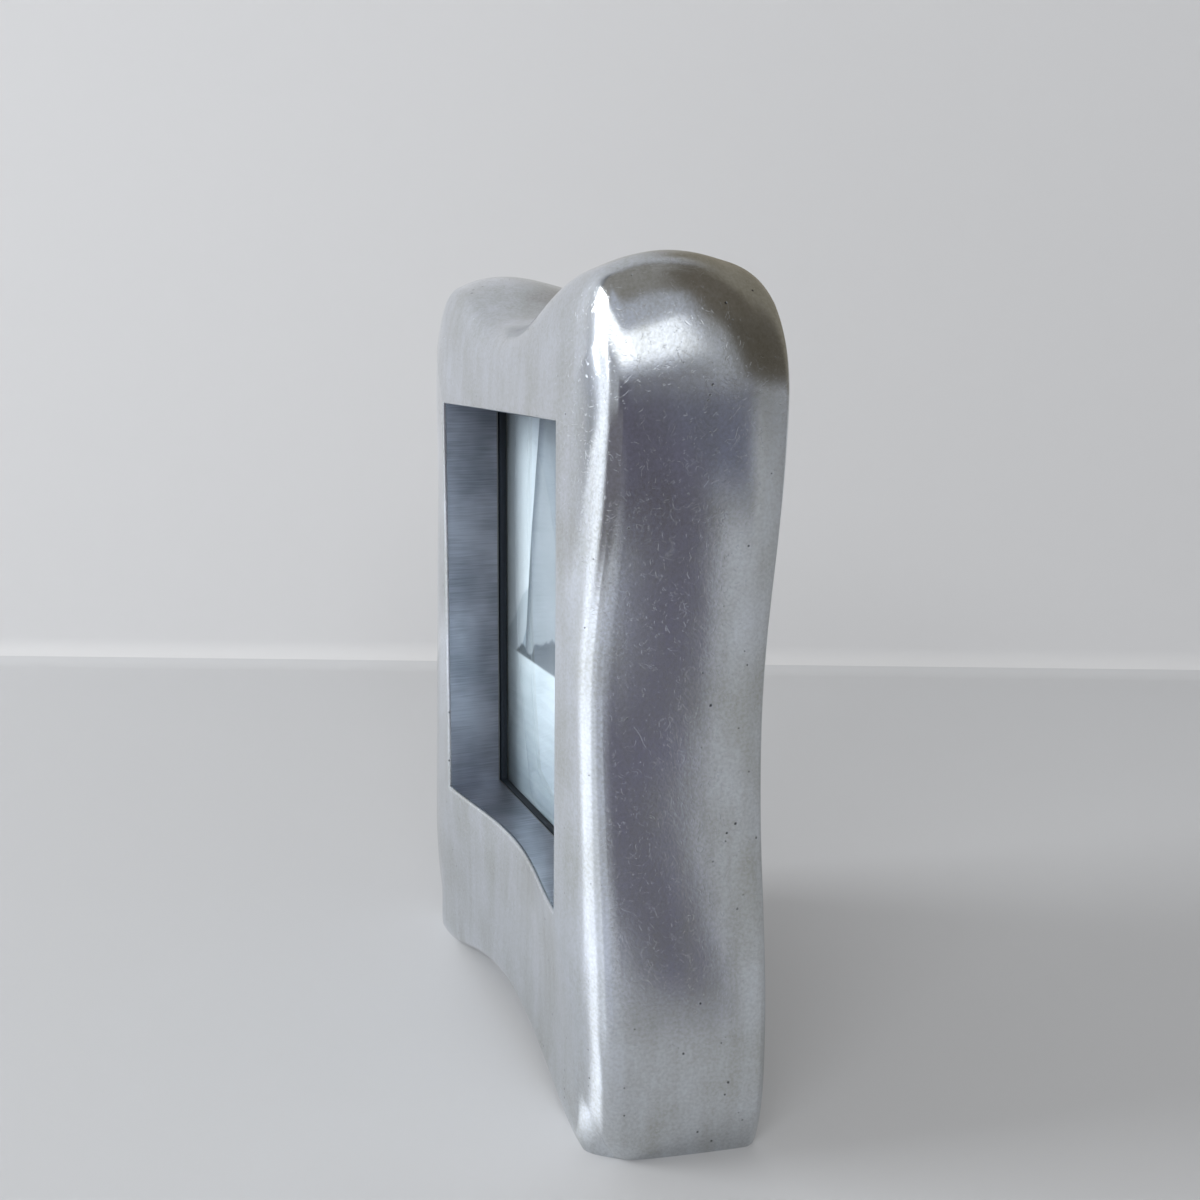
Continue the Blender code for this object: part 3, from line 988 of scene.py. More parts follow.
@dataclass
class Casting:
    """The one-piece cast frame, lofted round its window and ground flat under its feet.

    A place along the rim is a number from 0 at the saddle to 7 at the arch, as in PLACES. The
    rectangles round the window give, for some places, how far they reach across and down.
    polish_shares are for the window's edge, the ridge and the side, and back_polish is for the
    corners behind them. The skin is fully uneven from wave_from_polish up.
    """

    print_width: float = 76.2 * MM
    print_height: float = 101.6 * MM
    window_half_width: float = 36.0 * MM
    window_low: float = 42.8 * MM
    window_high: float = 134.8 * MM
    rebate_clearance: float = 0.8 * MM
    pocket_margin_sides: float = 11.0 * MM
    pocket_margin_ends: float = 5.0 * MM
    saddle_rise: float = 17.9 * MM
    ear_rise: float = 30.1 * MM
    ear_top_outset: float = 9.0 * MM
    ear_side_rise: float = 5.1 * MM
    ear_side_width: float = 25.1 * MM
    waist_width: float = 20.7 * MM
    waist_above_sill: float = 38.2 * MM
    foot_side_width: float = 25.9 * MM
    foot_side_height: float = 16.4 * MM
    foot_corner_round: float = 5.7 * MM
    sole_width: float = 5.9 * MM
    sole_cut: float = 3.5 * MM
    arch_height: float = 7.7 * MM
    depth: float = 32.6 * MM
    jamb_depth: float = 13.3 * MM
    pocket_floor: float = 5.25 * MM
    sill_hollow: float = 4.0 * MM
    lintel_hollow: float = 0.5 * MM
    hollow_power: float = 1.4
    window_arris: float = 0.4 * MM
    front_arris: float = 0.9 * MM
    pocket_arris: float = 0.4 * MM
    mould_fillet: float = 0.9 * MM
    most_rounded: float = 0.45
    wave_height: float = 0.10 * MM
    wave_size: float = 13.0 * MM
    wave_from_polish: float = 0.3
    polish_shares: tuple[float, ...] = (0.25, 1.0, 0.75)
    back_polish: tuple[float, ...] = (0.5, 0.3, 0.0, 0.0, 0.0, 0.0)
    rectangle_across: tuple[Span, ...] = (
        (0, 0.0),
        (1, 0.8),
        (1.5, 1.0),
        (4.5, 1.0),
        (5, 0.94),
        (6, 0.72),
        (7, 0.0),
    )
    rectangle_down: tuple[Span, ...] = ((1.5, 0.0), (2, 0.14), (3, 0.5), (4, 0.92), (4.5, 1.0))
    outline_pull: tuple[Span, ...] = (
        (0.46, 0.48),
        (0.53, 0.57),
        (0.42, 0.42),
        (0.42, 0.42),
        (0.58, 0.56),
        (0.33, 0.33),
        (0.27, 0.45),
    )
    outline_steps: tuple[int, ...] = (36, 44, 32, 32, 24, 6, 32)
    roll_points: int = 14
    run_points: int = 8
    sections: dict[str, RimSection] = field(default_factory=SECTIONS.copy)

    def outline_places(self) -> list[tuple[float, float, bool]]:
        """Finds the named places on the right half of the outline.

        Returns:
            For each place x, z, and if the outline runs upright there.
        """
        half, high = self.window_half_width, self.window_high
        foot_outer_x = half + self.foot_side_width - self.foot_corner_round
        return [
            (0.0, high + self.saddle_rise, False),
            (half + self.ear_top_outset, high + self.ear_rise, False),
            (half + self.ear_side_width, high + self.ear_side_rise, True),
            (half + self.waist_width, self.window_low + self.waist_above_sill, True),
            (half + self.foot_side_width, self.foot_side_height, True),
            (foot_outer_x, -self.sole_cut, False),
            (foot_outer_x - self.sole_width, -self.sole_cut, False),
            (0.0, self.arch_height, False),
        ]

    def outline(self, stretch: int, t: float) -> np.ndarray:
        """A point on one stretch of the outline, a Bezier curve between two places.

        Args:
            stretch: The place that it starts from.
            t: How far along it, 0 to 1.

        Returns:
            The point's x and z.
        """
        places = self.outline_places()
        x0, z0, upright0 = places[stretch]
        x1, z1, upright1 = places[stretch + 1]
        start, end = np.array((x0, z0)), np.array((x1, z1))
        reach = end - start
        pull0, pull1 = self.outline_pull[stretch]
        leave = start + reach * np.array((not upright0, upright0)) * pull0
        arrive = end - reach * np.array((not upright1, upright1)) * pull1
        u = 1 - t
        return u**3 * start + 3 * u * u * t * leave + 3 * u * t * t * arrive + t**3 * end

    def section_at(self, place: float) -> RimSection:
        """The section's sizes between two named places, never beyond either.

        Args:
            place: Where along the rim.

        Returns:
            Its sizes, on a curve through those at the named places.
        """
        table = np.array([tuple(section) for section in self.sections.values()])
        steps = np.diff(table, axis=0)
        slopes = np.zeros_like(table)
        before, after = steps[:-1], steps[1:]
        same_way = before * after > 0
        total = np.where(same_way, before + after, 1.0)
        slopes[1:-1] = np.where(same_way, 2 * before * after / total, 0.0)
        i = min(int(place), len(steps) - 1)
        t = place - i
        row = table[i] + steps[i] * t * t * (3 - 2 * t)
        row += slopes[i] * t * (1 - t) ** 2 - slopes[i + 1] * t * t * (1 - t)
        return RimSection(*row)

    def on_rectangle(self, place: float, half_width: float, margin: float) -> np.ndarray:
        """The point of a rectangle round the window that belongs to a place.

        Args:
            place: Where along the rim. Two places fall exactly on the rectangle's corners.
            half_width: Half the rectangle's width.
            margin: How far it reaches above and below the window.

        Returns:
            The point's x and z.
        """
        across = np.interp(place, *zip(*self.rectangle_across))
        down = np.interp(place, *zip(*self.rectangle_down))
        high = self.window_high + margin
        return np.array((across * half_width, high + (self.window_low - margin - high) * down))

    def section_points(self, place: float, section: RimSection, edge: np.ndarray) -> np.ndarray:
        """The nine corners of the section, from the window's front edge out and round.

        Args:
            place: Where along the rim.
            section: The section's sizes there.
            edge: The outline's point there.

        Returns:
            Their x, y and z.
        """
        pack_margin = (self.print_height - self.window_high + self.window_low) / 2
        rebate_half = self.print_width / 2 + self.rebate_clearance
        pocket_half = rebate_half + self.pocket_margin_sides
        rebate_margin = pack_margin + self.rebate_clearance
        window = self.on_rectangle(place, self.window_half_width, 0.0)
        rebate = self.on_rectangle(place, rebate_half, rebate_margin)
        pocket = self.on_rectangle(place, pocket_half, rebate_margin + self.pocket_margin_ends)
        width = float(np.linalg.norm(edge - window))
        outwards = (edge - window) / width
        front, back = -self.depth / 2, self.depth / 2
        hollow = self.lintel_hollow if place < PLACES["waist"] else self.sill_hollow
        share = min(1.0, abs(window[0]) / self.window_half_width)
        face = front + hollow * max(0.0, math.cos(math.pi / 2 * share)) ** self.hollow_power
        ledge = front + self.jamb_depth
        corners = (
            (window, face),
            (window + outwards * (width - section.ridge_inset), front + section.ridge_fall),
            (window + outwards * width, front + self.depth * section.widest_at),
            (window + outwards * (width - section.back_inset), back),
            (pocket, back),
            (pocket, self.pocket_floor),
            (rebate, self.pocket_floor),
            (rebate, ledge),
            (window, ledge),
        )
        return np.array([(corner[0], y, corner[1]) for corner, y in corners])

    def corners_at(self, stretch: int, t: float) -> list[Corner]:
        """The section's corners, with how each is rounded, polished and finished.

        Args:
            stretch: The place that the stretch starts from.
            t: How far along it, 0 to 1.

        Returns:
            The corners, from the window's front edge out and round.
        """
        place = stretch + t
        section = self.section_at(place)
        points = self.section_points(place, section, self.outline(stretch, t))
        rounding = (
            self.front_arris,
            0.0,
            0.0,
            section.back_round,
            self.pocket_arris,
            self.mould_fillet,
            self.pocket_arris,
            self.window_arris,
            self.window_arris,
        )
        before = np.linalg.norm(np.roll(points, 1, axis=0) - points, axis=1)
        after = np.linalg.norm(np.roll(points, -1, axis=0) - points, axis=1)
        shares = np.minimum(self.most_rounded, np.array((rounding / before, rounding / after)).T)
        shares[1] = (section.face_roll, section.ridge_roll)
        shares[2] = section.side_roll
        if place < PLACES["foot_outer"]:
            window, back_edge = points[0, ::2], points[3, ::2]
            rim = max(float(np.linalg.norm(back_edge - window)), DOUBLES)
            shares[3] = (section.back_round / before[3], section.back_round / rim)
        polish = [share * section.polish for share in self.polish_shares] + [*self.back_polish]
        runs = [Outfit.POLISHED] * 3 + [Outfit.BELT_GROUND] + [Outfit.AS_CAST] * 4
        rolls = [Outfit.POLISHED, *runs]
        runs.append(Outfit.FILED)
        return [Corner(p, *s, *rest) for p, s, *rest in zip(points, shares, polish, rolls, runs)]

    def stations(self) -> list[list[Corner]]:
        """The corners of every section round the window, clockwise from the top centre.

        Returns:
            One list of corners for each section.
        """
        right = []
        for stretch, steps in enumerate(self.outline_steps):
            right += [self.corners_at(stretch, step / steps) for step in range(steps)]
        right.append(self.corners_at(len(self.outline_steps) - 1, 1.0))
        mirror = np.array((-1.0, 1.0, 1.0))
        left = [
            [corner._replace(point=corner.point * mirror) for corner in ring]
            for ring in reversed(right[1:-1])
        ]
        return right + left

    def skeleton(self, stations: list[list[Corner]]) -> Object:
        """All corners as loose points, with how each is rounded and polished.

        Args:
            stations: The sections' corners.

        Returns:
            An object that carries the points.
        """
        corners = [corner for ring in stations for corner in ring]
        mesh = bpy.data.meshes.new("rim_skeleton")
        mesh.from_pydata([tuple(corner.point) for corner in corners], [], [])
        for name in ("share_before", "share_after", "polish"):
            values = mesh.attributes.new(name, "FLOAT", "POINT")
            values.data.foreach_set("value", [getattr(corner, name) for corner in corners])
        for name in ("roll_finish", "run_finish"):
            values = mesh.attributes.new(name, "INT", "POINT")
            values.data.foreach_set("value", [getattr(c, name).value for c in corners])
        return link_new("rim_skeleton", mesh)

    def loft_tree(self) -> NodeTree:
        """A tree that rounds the corners of each section and skins the sections as a ring.

        Every corner gives one block of points: first the curve that rounds it, then the
        straight run to the next corner. The grid of blocks and sections is folded into a
        closed ring, and the polished skin is made a little uneven.

        Returns:
            The tree.
        """
        sockets = {"Skeleton": "Geometry", "Sections": "Int", "Corners": "Int"}
        sockets |= {"Roll Points": "Int", "Run Points": "Int"}
        sockets |= {"Wave Height": "Float", "Wave Size": "Float"}
        sockets |= {outfit.name.title(): "Material" for outfit in Outfit}
        tree, add, given = start_tree("rim_loft", sockets)
        skeleton, count = given["Skeleton"], given["Corners"]
        block = add(WHOLE, (given["Roll Points"], given["Run Points"]), operation="ADD")
        around = add(WHOLE, (count, block), operation="MULTIPLY")
        columns = add(WHOLE, (around, 1), operation="ADD")
        rows = add(WHOLE, (given["Sections"], 1), operation="ADD")
        grid = add("GeometryNodeMeshGrid", {"Vertices X": rows, "Vertices Y": columns})
        index = add("GeometryNodeInputIndex")
        row = add(WHOLE, (index, columns), operation="DIVIDE_FLOOR")
        station = add(WHOLE, (row, given["Sections"]), operation="MODULO")
        column = add(WHOLE, (index, columns), operation="MODULO")
        step = add(WHOLE, (column, around), operation="MODULO")
        corner = add(WHOLE, (step, block), operation="DIVIDE_FLOOR")
        inside = add(WHOLE, (step, block), operation="MODULO")

        # The corner itself and its neighbours, by how many corners on they lie
        position = add("GeometryNodeInputPosition")
        at, near = {}, {}
        for offset in (-1, 0, 1):
            moved = add(WHOLE, (corner, offset), operation="ADD")
            wrapped = add(WHOLE, (moved, count), operation="ADD")
            wrapped = add(WHOLE, (wrapped, count), operation="MODULO")
            near[offset] = add(WHOLE, (station, count, wrapped), operation="MULTIPLY_ADD")
            at[offset] = add(SAMPLE, (skeleton, position, near[offset]), data_type="FLOAT_VECTOR")
        share = {}
        for name, offset in (
            ("share_before", 0),
            ("share_after", 0),
            ("share_before", 1),
            ("polish", 0),
            ("polish", 1),
        ):
            value = add(NAMED, {"Name": name}, data_type="FLOAT")
            sampled = add(SAMPLE, (skeleton, value, near[offset]), data_type="FLOAT")
            share[name, offset] = sampled
        start = add(MIX, (share["share_before", 0], at[0], at[-1]), data_type="VECTOR")
        end = add(MIX, (share["share_after", 0], at[0], at[1]), data_type="VECTOR")
        following = add(MIX, (share["share_before", 1], at[1], at[0]), data_type="VECTOR")
        last = add(WHOLE, (given["Roll Points"], 1), operation="SUBTRACT")
        turned = add(MATH, (inside, last), operation="DIVIDE")
        first_leg = add(MIX, (turned, start, at[0]), data_type="VECTOR")
        second_leg = add(MIX, (turned, at[0], end), data_type="VECTOR")
        roll = add(MIX, (turned, first_leg, second_leg), data_type="VECTOR")
        past = add(WHOLE, (inside, last), operation="SUBTRACT")
        gaps = add(WHOLE, (given["Run Points"], 1), operation="ADD")
        along = add(MATH, (past, gaps), operation="DIVIDE")
        run = add(MIX, (along, end, following), data_type="VECTOR")
        on_run = add(COMPARE, (inside, last), data_type="INT", operation="GREATER_THAN")
        point = add(SWITCH, (on_run, roll, run), input_type="VECTOR")
        skin = add(MOVE, {"Geometry": grid, "Position": point})

        share_along = add(MATH, (inside, block), operation="DIVIDE")
        bright = add(MIX, (share_along, share["polish", 0], share["polish", 1]), data_type="FLOAT")
        kept = {"Geometry": skin, "Name": "polish", "Value": bright}
        skin = add(STORE, kept, data_type="FLOAT", domain="POINT")
        # On faces, Index is the face's number, so its corner is worked out from that
        face = add(WHOLE, (index, around), operation="MODULO")
        zone = add(WHOLE, (face, block), operation="DIVIDE_FLOOR")
        face = add(WHOLE, (face, block), operation="MODULO")
        on_roll = add(COMPARE, (face, last), data_type="INT", operation="LESS_THAN")
        finishes = []
        for name in ("run_finish", "roll_finish"):
            value = add(NAMED, {"Name": name}, data_type="INT")
            finishes.append(add(SAMPLE, (skeleton, value, zone), data_type="INT"))
        outfit = add(SWITCH, (on_roll, *finishes), input_type="INT")
        kept = {"Geometry": skin, "Name": "outfit", "Value": outfit}
        skin = add(STORE, kept, data_type="INT", domain="FACE")
        skin = add("GeometryNodeMergeByDistance", {"Geometry": skin, "Distance": DOUBLES})

        normal = add("GeometryNodeInputNormal")
        wave = {"Vector": position, "Scale": given["Wave Size"], "Detail": 1.5}
        worn = add(NAMED, {"Name": "polish"}, data_type="FLOAT")
        reach = add(RANGE, (worn, 0.0, self.wave_from_polish))
        sink = add(MATH, (add(NOISE, wave), reach), operation="MULTIPLY")
        sink = add(MATH, (sink, given["Wave Height"]), operation="MULTIPLY")
        offset = add("ShaderNodeVectorMath", {"Vector": normal, "Scale": sink}, operation="SCALE")
        skin = add(MOVE, {"Geometry": skin, "Offset": offset})
        skin = add("GeometryNodeRealizeInstances", (skin,))
        wanted = add(NAMED, {"Name": "outfit"}, data_type="INT")
        for kind in Outfit:
            chosen = add(COMPARE, (wanted, kind.value), data_type="INT", operation="EQUAL")
            dressed = (skin, chosen, given[kind.name.title()])
            skin = add("GeometryNodeSetMaterial", dressed)
        feed(tree.nodes.new("NodeGroupOutput"), (skin,))
        return tree

    def grind_soles(self, mesh: Mesh) -> None:
        """Cuts the feet flat at the floor, as the real soles are ground.

        Args:
            mesh: The casting's mesh, which is changed.
        """
        bm = bmesh.new()
        bm.from_mesh(mesh)
        geometry = bm.verts[:] + bm.edges[:] + bm.faces[:]
        floor = {"plane_co": (0, 0, 0), "plane_no": (0, 0, -1)}
        cut = bmesh.ops.bisect_plane(bm, geom=geometry, clear_outer=True, **floor)
        rim = [edge for edge in cut["geom_cut"] if isinstance(edge, bmesh.types.BMEdge)]
        filled = bmesh.ops.holes_fill(bm, edges=rim, sides=0)
        ground = [m.name for m in mesh.materials].index(BeltGroundAluminium.name)
        for face in filled["faces"]:
            face.material_index = ground
        bmesh.ops.recalc_face_normals(bm, faces=bm.faces)
        bm.to_mesh(mesh)
        bm.free()

    def build(self) -> None:
        """Lofts, grinds and hands over the casting."""
        stations = self.stations()
        finishes = {
            Outfit.POLISHED: PolishedCasting(),
            Outfit.BELT_GROUND: BeltGroundAluminium(),
            Outfit.AS_CAST: SandCastSkin(),
            Outfit.FILED: FiledAluminium(),
        }
        values = {
            "Sections": len(stations),
            "Corners": len(stations[0]),
            "Roll Points": self.roll_points,
            "Run Points": self.run_points,
            "Wave Height": -self.wave_height,
            "Wave Size": per(self.wave_size),
            **{kind.name.title(): made.material() for kind, made in finishes.items()},
        }
        mesh = run_tree(self.skeleton(stations), self.loft_tree(), values)
        self.grind_soles(mesh)
        hand_over(as_piece("polished_casting", mesh), Body.FRAME, "casting", "cast_frame")


def plate(loops: list[list[Span]], low: float, high: float, edge: float) -> Mesh:
    """A flat plate with rounded edges, from its outline and any hole's outline.

    Args:
        loops: Outlines as (x, z) points: the outer one and then any holes.
        low: Y of its front face.
        high: Y of its back face.
        edge: How far its edges are rounded.

    Returns:
        The plate's mesh.
    """
    bm = bmesh.new()
    edges = []
    for loop in loops:
        verts = [bm.verts.new((x, low, z)) for x, z in loop]
        edges += [bm.edges.new(pair) for pair in zip(verts, verts[1:] + verts[:1])]
    bmesh.ops.triangle_fill(bm, use_beauty=True, edges=edges)
    raised = bmesh.ops.extrude_face_region(bm, geom=bm.faces[:])
    tops = [v for v in raised["geom"] if isinstance(v, bmesh.types.BMVert)]
    bmesh.ops.translate(bm, verts=tops, vec=(0.0, high - low, 0.0))
    bmesh.ops.dissolve_limit(bm, angle_limit=math.radians(1), verts=bm.verts, edges=bm.edges)
    rims = [e for e in bm.edges if len(e.link_faces) == 2 and e.calc_face_angle() > EDGE_ANGLE]
    shape = {"segments": 2, "profile": 0.5, "affect": "EDGES", "clamp_overlap": True}
    bmesh.ops.bevel(bm, geom=rims, offset=edge, **shape)
    return mesh_from(bm, "plate")


@dataclass
class PicturePack:
    """What lies behind the window: foam band, glass, print and backing board."""

    band_round: float = 0.35 * MM
    glass_arris: float = 0.3 * MM
    print_edge: float = 0.04 * MM
    board_chamfer: float = 0.35 * MM
    notch_radius: float = 8.0 * MM
    notch_steps: int = 32
    window_setback: float = 0.2 * MM
    window_half_width: float = 36.0 * MM
    window_half_height: float = 46.0 * MM
    window_centre: float = 88.8 * MM

    def rectangle(self, half_width: float, low: float, high: float) -> list[Span]:
        """A rectangle's outline as (x, z) points."""
        return [(half_width, high), (-half_width, high), (-half_width, low), (half_width, low)]

    def band_hole(self) -> list[Span]:
        """The foam band's inner outline, which shows as a black line round the picture.

        Returns:
            Its (x, z) points.
        """
        half = self.window_half_height + self.window_setback
        low, high = self.window_centre - half, self.window_centre + half
        return self.rectangle(self.window_half_width + self.window_setback, low, high)

    def board_outline(self) -> list[Span]:
        """The board's outline, with a thumb notch in its top edge.

        Returns:
            Its (x, z) points.
        """
        low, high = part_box("backing_board")
        notch = arc((0.0, high.z), self.notch_radius, 0, -math.pi, self.notch_steps)
        return [(high.x, high.z), *notch, (-high.x, high.z), (-high.x, low.z), (high.x, low.z)]

    def build(self) -> None:
        """Makes the pack from the front to the back."""
        for name, node, slot, finish, edge in (
            ("foam_band", "glazing_gasket", "gasket", BlackFoamWithGapShade(), self.band_round),
            ("picture_glass", "glass_pane", "glass", PictureGlass(), self.glass_arris),
            ("landscape_print", "photo_print", "print", PrintedLandscape(), self.print_edge),
            ("hardboard_back", "backing_board", "board", Hardboard(), self.board_chamfer),
        ):
            low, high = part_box(node)
            loops = [self.rectangle(high.x, low.z, high.z)]
            if node == "glazing_gasket":
                loops.append(self.band_hole())
            elif node == "backing_board":
                loops = [self.board_outline()]
            piece = as_piece(name, plate(loops, low.y, high.y, edge))
            piece.data.materials.append(finish.material())
            hand_over(piece, Body.FRAME, slot, node)


class Pivot(NamedTuple):
    """Where one turn button is screwed on, and which side of the window it is."""

    number: int
    x: float
    z: float
    side: int


def pivots() -> list[Pivot]:
    """The four pivots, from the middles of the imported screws.

    Returns:
        One pivot for each screw, in their order.
    """
    found = []
    for number in range(1, 5):
        low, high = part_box(f"button_screw_{number}")
        middle = (low + high) / 2
        found.append(Pivot(number, middle.x, middle.z, 1 if middle.x > 0 else -1))
    return found


def pivot_points(places: list[Pivot], y: float) -> Object:
    """The pivots as loose points, each with the angle that its side asks for.

    Args:
        places: The pivots.
        y: Their depth.

    Returns:
        An object that carries the points.
    """
    mesh = bpy.data.meshes.new("pivots")
    mesh.from_pydata([(p.x, y, p.z) for p in places], [], [])
    turn = mesh.attributes.new("turn", "FLOAT", "POINT")
    turn.data.foreach_set("value", [0.0 if p.side < 0 else math.pi for p in places])
    return link_new("pivots", mesh)


def fastener_tree() -> NodeTree:
    """A tree that sets one fastener on each point, turned by the point's own angle.

    Returns:
        The tree.
    """
    sockets = {"Pivots": "Geometry", "Fastener": "Object", "Stray Turn": "Float"}
    sockets |= {"Seed": "Int", "Material": "Material"}
    tree, add, given = start_tree("fasteners_on_pivots", sockets)
    turn = add(NAMED, {"Name": "turn"}, data_type="FLOAT")
    less = add(MATH, (given["Stray Turn"], -1.0), operation="MULTIPLY")
    strays = {"Min": less, "Max": given["Stray Turn"], "Seed": given["Seed"]}
    stray = add("FunctionNodeRandomValue", strays, data_type="FLOAT")
    angle = add(MATH, (turn, stray), operation="ADD")
    rotation = add("FunctionNodeEulerToRotation", (add("ShaderNodeCombineXYZ", {"Y": angle}),))
    own = {"output": "Geometry", "transform_space": "ORIGINAL"}
    fastener = add("GeometryNodeObjectInfo", {"Object": given["Fastener"]}, **own)
    spread = {"Points": given["Pivots"], "Instance": fastener, "Rotation": rotation}
    solid = add("GeometryNodeRealizeInstances", (add("GeometryNodeInstanceOnPoints", spread),))
    dressed = {"Geometry": solid, "Material": given["Material"]}
    feed(tree.nodes.new("NodeGroupOutput"), (add("GeometryNodeSetMaterial", dressed),))
    return tree


@dataclass
class TurnButton:
    """A stamped steel tab that swings over the board's edge, with a rib pressed along it."""

    reach: float = 12.0 * MM
    pivot_radius: float = 3.5 * MM
    tip_radius: float = 2.7 * MM
    thickness: float = 1.0 * MM
    hole_radius: float = 1.5 * MM
    edge_round: float = 0.22 * MM
    rib_start: float = 4.3 * MM
    rib_end: float = 9.6 * MM
    rib_radius: float = 0.85 * MM
    rib_height: float = 0.28 * MM
    rib_shares: tuple[float, ...] = (1.0, 1.0, 0.8, 0.5, 0.18)
    rib_lifts: tuple[float, ...] = (-0.5, 0.0, 0.55, 0.88, 1.0)
    rib_steps: int = 12
    round_steps: int = 28

    def outline(self) -> list[Span]:
        """The tab's outline, pivot at the origin and tip towards +X.

        Returns:
            Its (x, z) points.
        """
        tip_x = self.reach - self.tip_radius
        half_turn = math.pi / 2 - math.asin((self.pivot_radius - self.tip_radius) / tip_x)
        rear_end = 2 * math.pi - half_turn
        rear = arc((0.0, 0.0), self.pivot_radius, half_turn, rear_end, self.round_steps)
        return rear + arc((tip_x, 0.0), self.tip_radius, -half_turn, half_turn, self.round_steps)

    def rib(self) -> Mesh:
        """The pressed rib, a low dome with round ends that starts inside the tab.

        Returns:
            The rib's mesh.
        """
        bm = bmesh.new()
        rings = []
        quarter = math.pi / 2
        for share, lift in zip(self.rib_shares, self.rib_lifts):
            radius, y = self.rib_radius * share, self.thickness + self.rib_height * lift
            loop = arc((self.rib_start, 0.0), radius, quarter, 3 * quarter, self.rib_steps)
            loop += arc((self.rib_end, 0.0), radius, -quarter, quarter, self.rib_steps)
            rings.append([bm.verts.new((x, y, z)) for x, z in loop])
        for low, high in zip(rings, rings[1:]):
            for i in range(len(low)):
                j = (i + 1) % len(low)
                bm.faces.new((low[i], low[j], high[j], high[i]))
        bm.faces.new(rings[0])
        bm.faces.new(rings[-1])
        return mesh_from(bm, "rib")

    def pattern(self) -> Object:
        """One tab lying as it is stamped, hole and rib included.

        Returns:
            The tab, which the caller removes.
        """
        hole = arc((0.0, 0.0), self.hole_radius, 0, 2 * math.pi, self.round_steps)[:-1]
        mesh = plate([self.outline(), hole], 0.0, self.thickness, self.edge_round)
        tab = as_piece("tab_pattern", mesh)
        joined = combined(tab, "UNION", as_piece("rib_pattern", self.rib()))
        return as_piece("tab_pattern", joined)

    def build(self, tree: NodeTree) -> None:
        """Sets a tab on each pivot, each on its own body.

        Args:
            tree: The tree that sets fasteners on points.
        """
        pattern = self.pattern()
        values = {"Fastener": pattern, "Stray Turn": 0.0, "Material": PlatedSteel().material()}
        for pivot in pivots():
            node = f"turn_button_{pivot.number}"
            low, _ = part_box(node)
            mesh = run_tree(pivot_points([pivot], low.y), tree, values)
            piece = as_piece(f"stamped_button_{pivot.number}", mesh)
            hand_over(piece, Body(node), "turn_buttons", node)
        bpy.data.objects.remove(pattern)


@dataclass
class ButtonScrews:
    """Slotted pan-head screws, each left with its slot at an angle of its own."""

    shank_radius: float = 1.2 * MM
    length: float = 7.0 * MM
    head_radius: float = 2.9 * MM
    head_height: float = 1.8 * MM
    head_corner: float = 0.25 * MM
    shoulder_share: float = 0.55
    dome_power: float = 0.8
    dome_turn: float = 0.46 * math.pi
    slot_width: float = 0.8 * MM
    slot_depth: float = 0.8 * MM
    slot_stray: float = 1.2
    seed: int = 4
    round_steps: int = 48
    dome_steps: int = 8

    def profile(self) -> list[Span]:
        """Half the screw's outline as (radius, y), from the top of the head to the tip.

        Returns:
            Its points.
        """
        shoulder = self.shoulder_share * self.head_height
        dome = self.head_height - shoulder
        crown = [
            (self.head_radius * math.sin(a), shoulder + dome * math.cos(a) ** self.dome_power)
            for a in np.linspace(0, self.dome_turn, self.dome_steps)
        ]
        return [
            *crown,
            (self.head_radius, shoulder),
            (self.head_radius, self.head_corner),
            (self.head_radius - self.head_corner, 0.0),
            (self.shank_radius, 0.0),
            (self.shank_radius, self.shank_radius - self.length),
            (0.0, -self.length),
        ]

    def pattern(self) -> Object:
        """One screw at the origin, its slot along X.

        Returns:
            The screw, which the caller removes.
        """
        bm = bmesh.new()
        verts = [bm.verts.new((radius, y, 0.0)) for radius, y in self.profile()]
        edges = [bm.edges.new(pair) for pair in zip(verts, verts[1:])]
        turn = {"cent": (0, 0, 0), "axis": (0, 1, 0), "angle": 2 * math.pi, "use_merge": True}
        bmesh.ops.spin(bm, geom=verts + edges, steps=self.round_steps, **turn)
        screw = as_piece("screw_pattern", mesh_from(bm, "screw_pattern"))
        cutter = bmesh.new()
        size = (3 * self.head_radius, self.slot_depth * 2, self.slot_width)
        centre = Matrix.Translation((0.0, self.head_height, 0.0))
        bmesh.ops.create_cube(cutter, size=1.0, matrix=centre @ Matrix.Diagonal((*size, 1.0)))
        slot = as_piece("slot_pattern", mesh_from(cutter, "slot_pattern"))
        return as_piece("screw_pattern", combined(screw, "DIFFERENCE", slot))

    def build(self, tree: NodeTree) -> None:
        """Sets a screw on each pivot, as one piece of the frame's body.

        Args:
            tree: The tree that sets fasteners on points.
        """
        places = pivots()
        _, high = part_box("button_screw_1")
        pattern = self.pattern()
        values = {"Fastener": pattern, "Stray Turn": self.slot_stray, "Seed": self.seed}
        values["Material"] = ZincPlate().material()
        mesh = run_tree(pivot_points(places, high.y - self.head_height), tree, values)
        bpy.data.objects.remove(pattern)
        replaced = [f"button_screw_{place.number}" for place in places]
        hand_over(as_piece("button_screws", mesh), Body.FRAME, "screws", *replaced)


# The studio


class Softbox(NamedTuple):
    """A soft lamp: where it stands, how large it is and how bright it looks in a mirror.

    The azimuth is 0 in front of the frame and 90 on its right, in degrees.
    """

    name: str
    azimuth: float
    elevation: float
    distance: float
    width: float
    height: float
    brightness: float
    colour: str
    in_gloss: bool


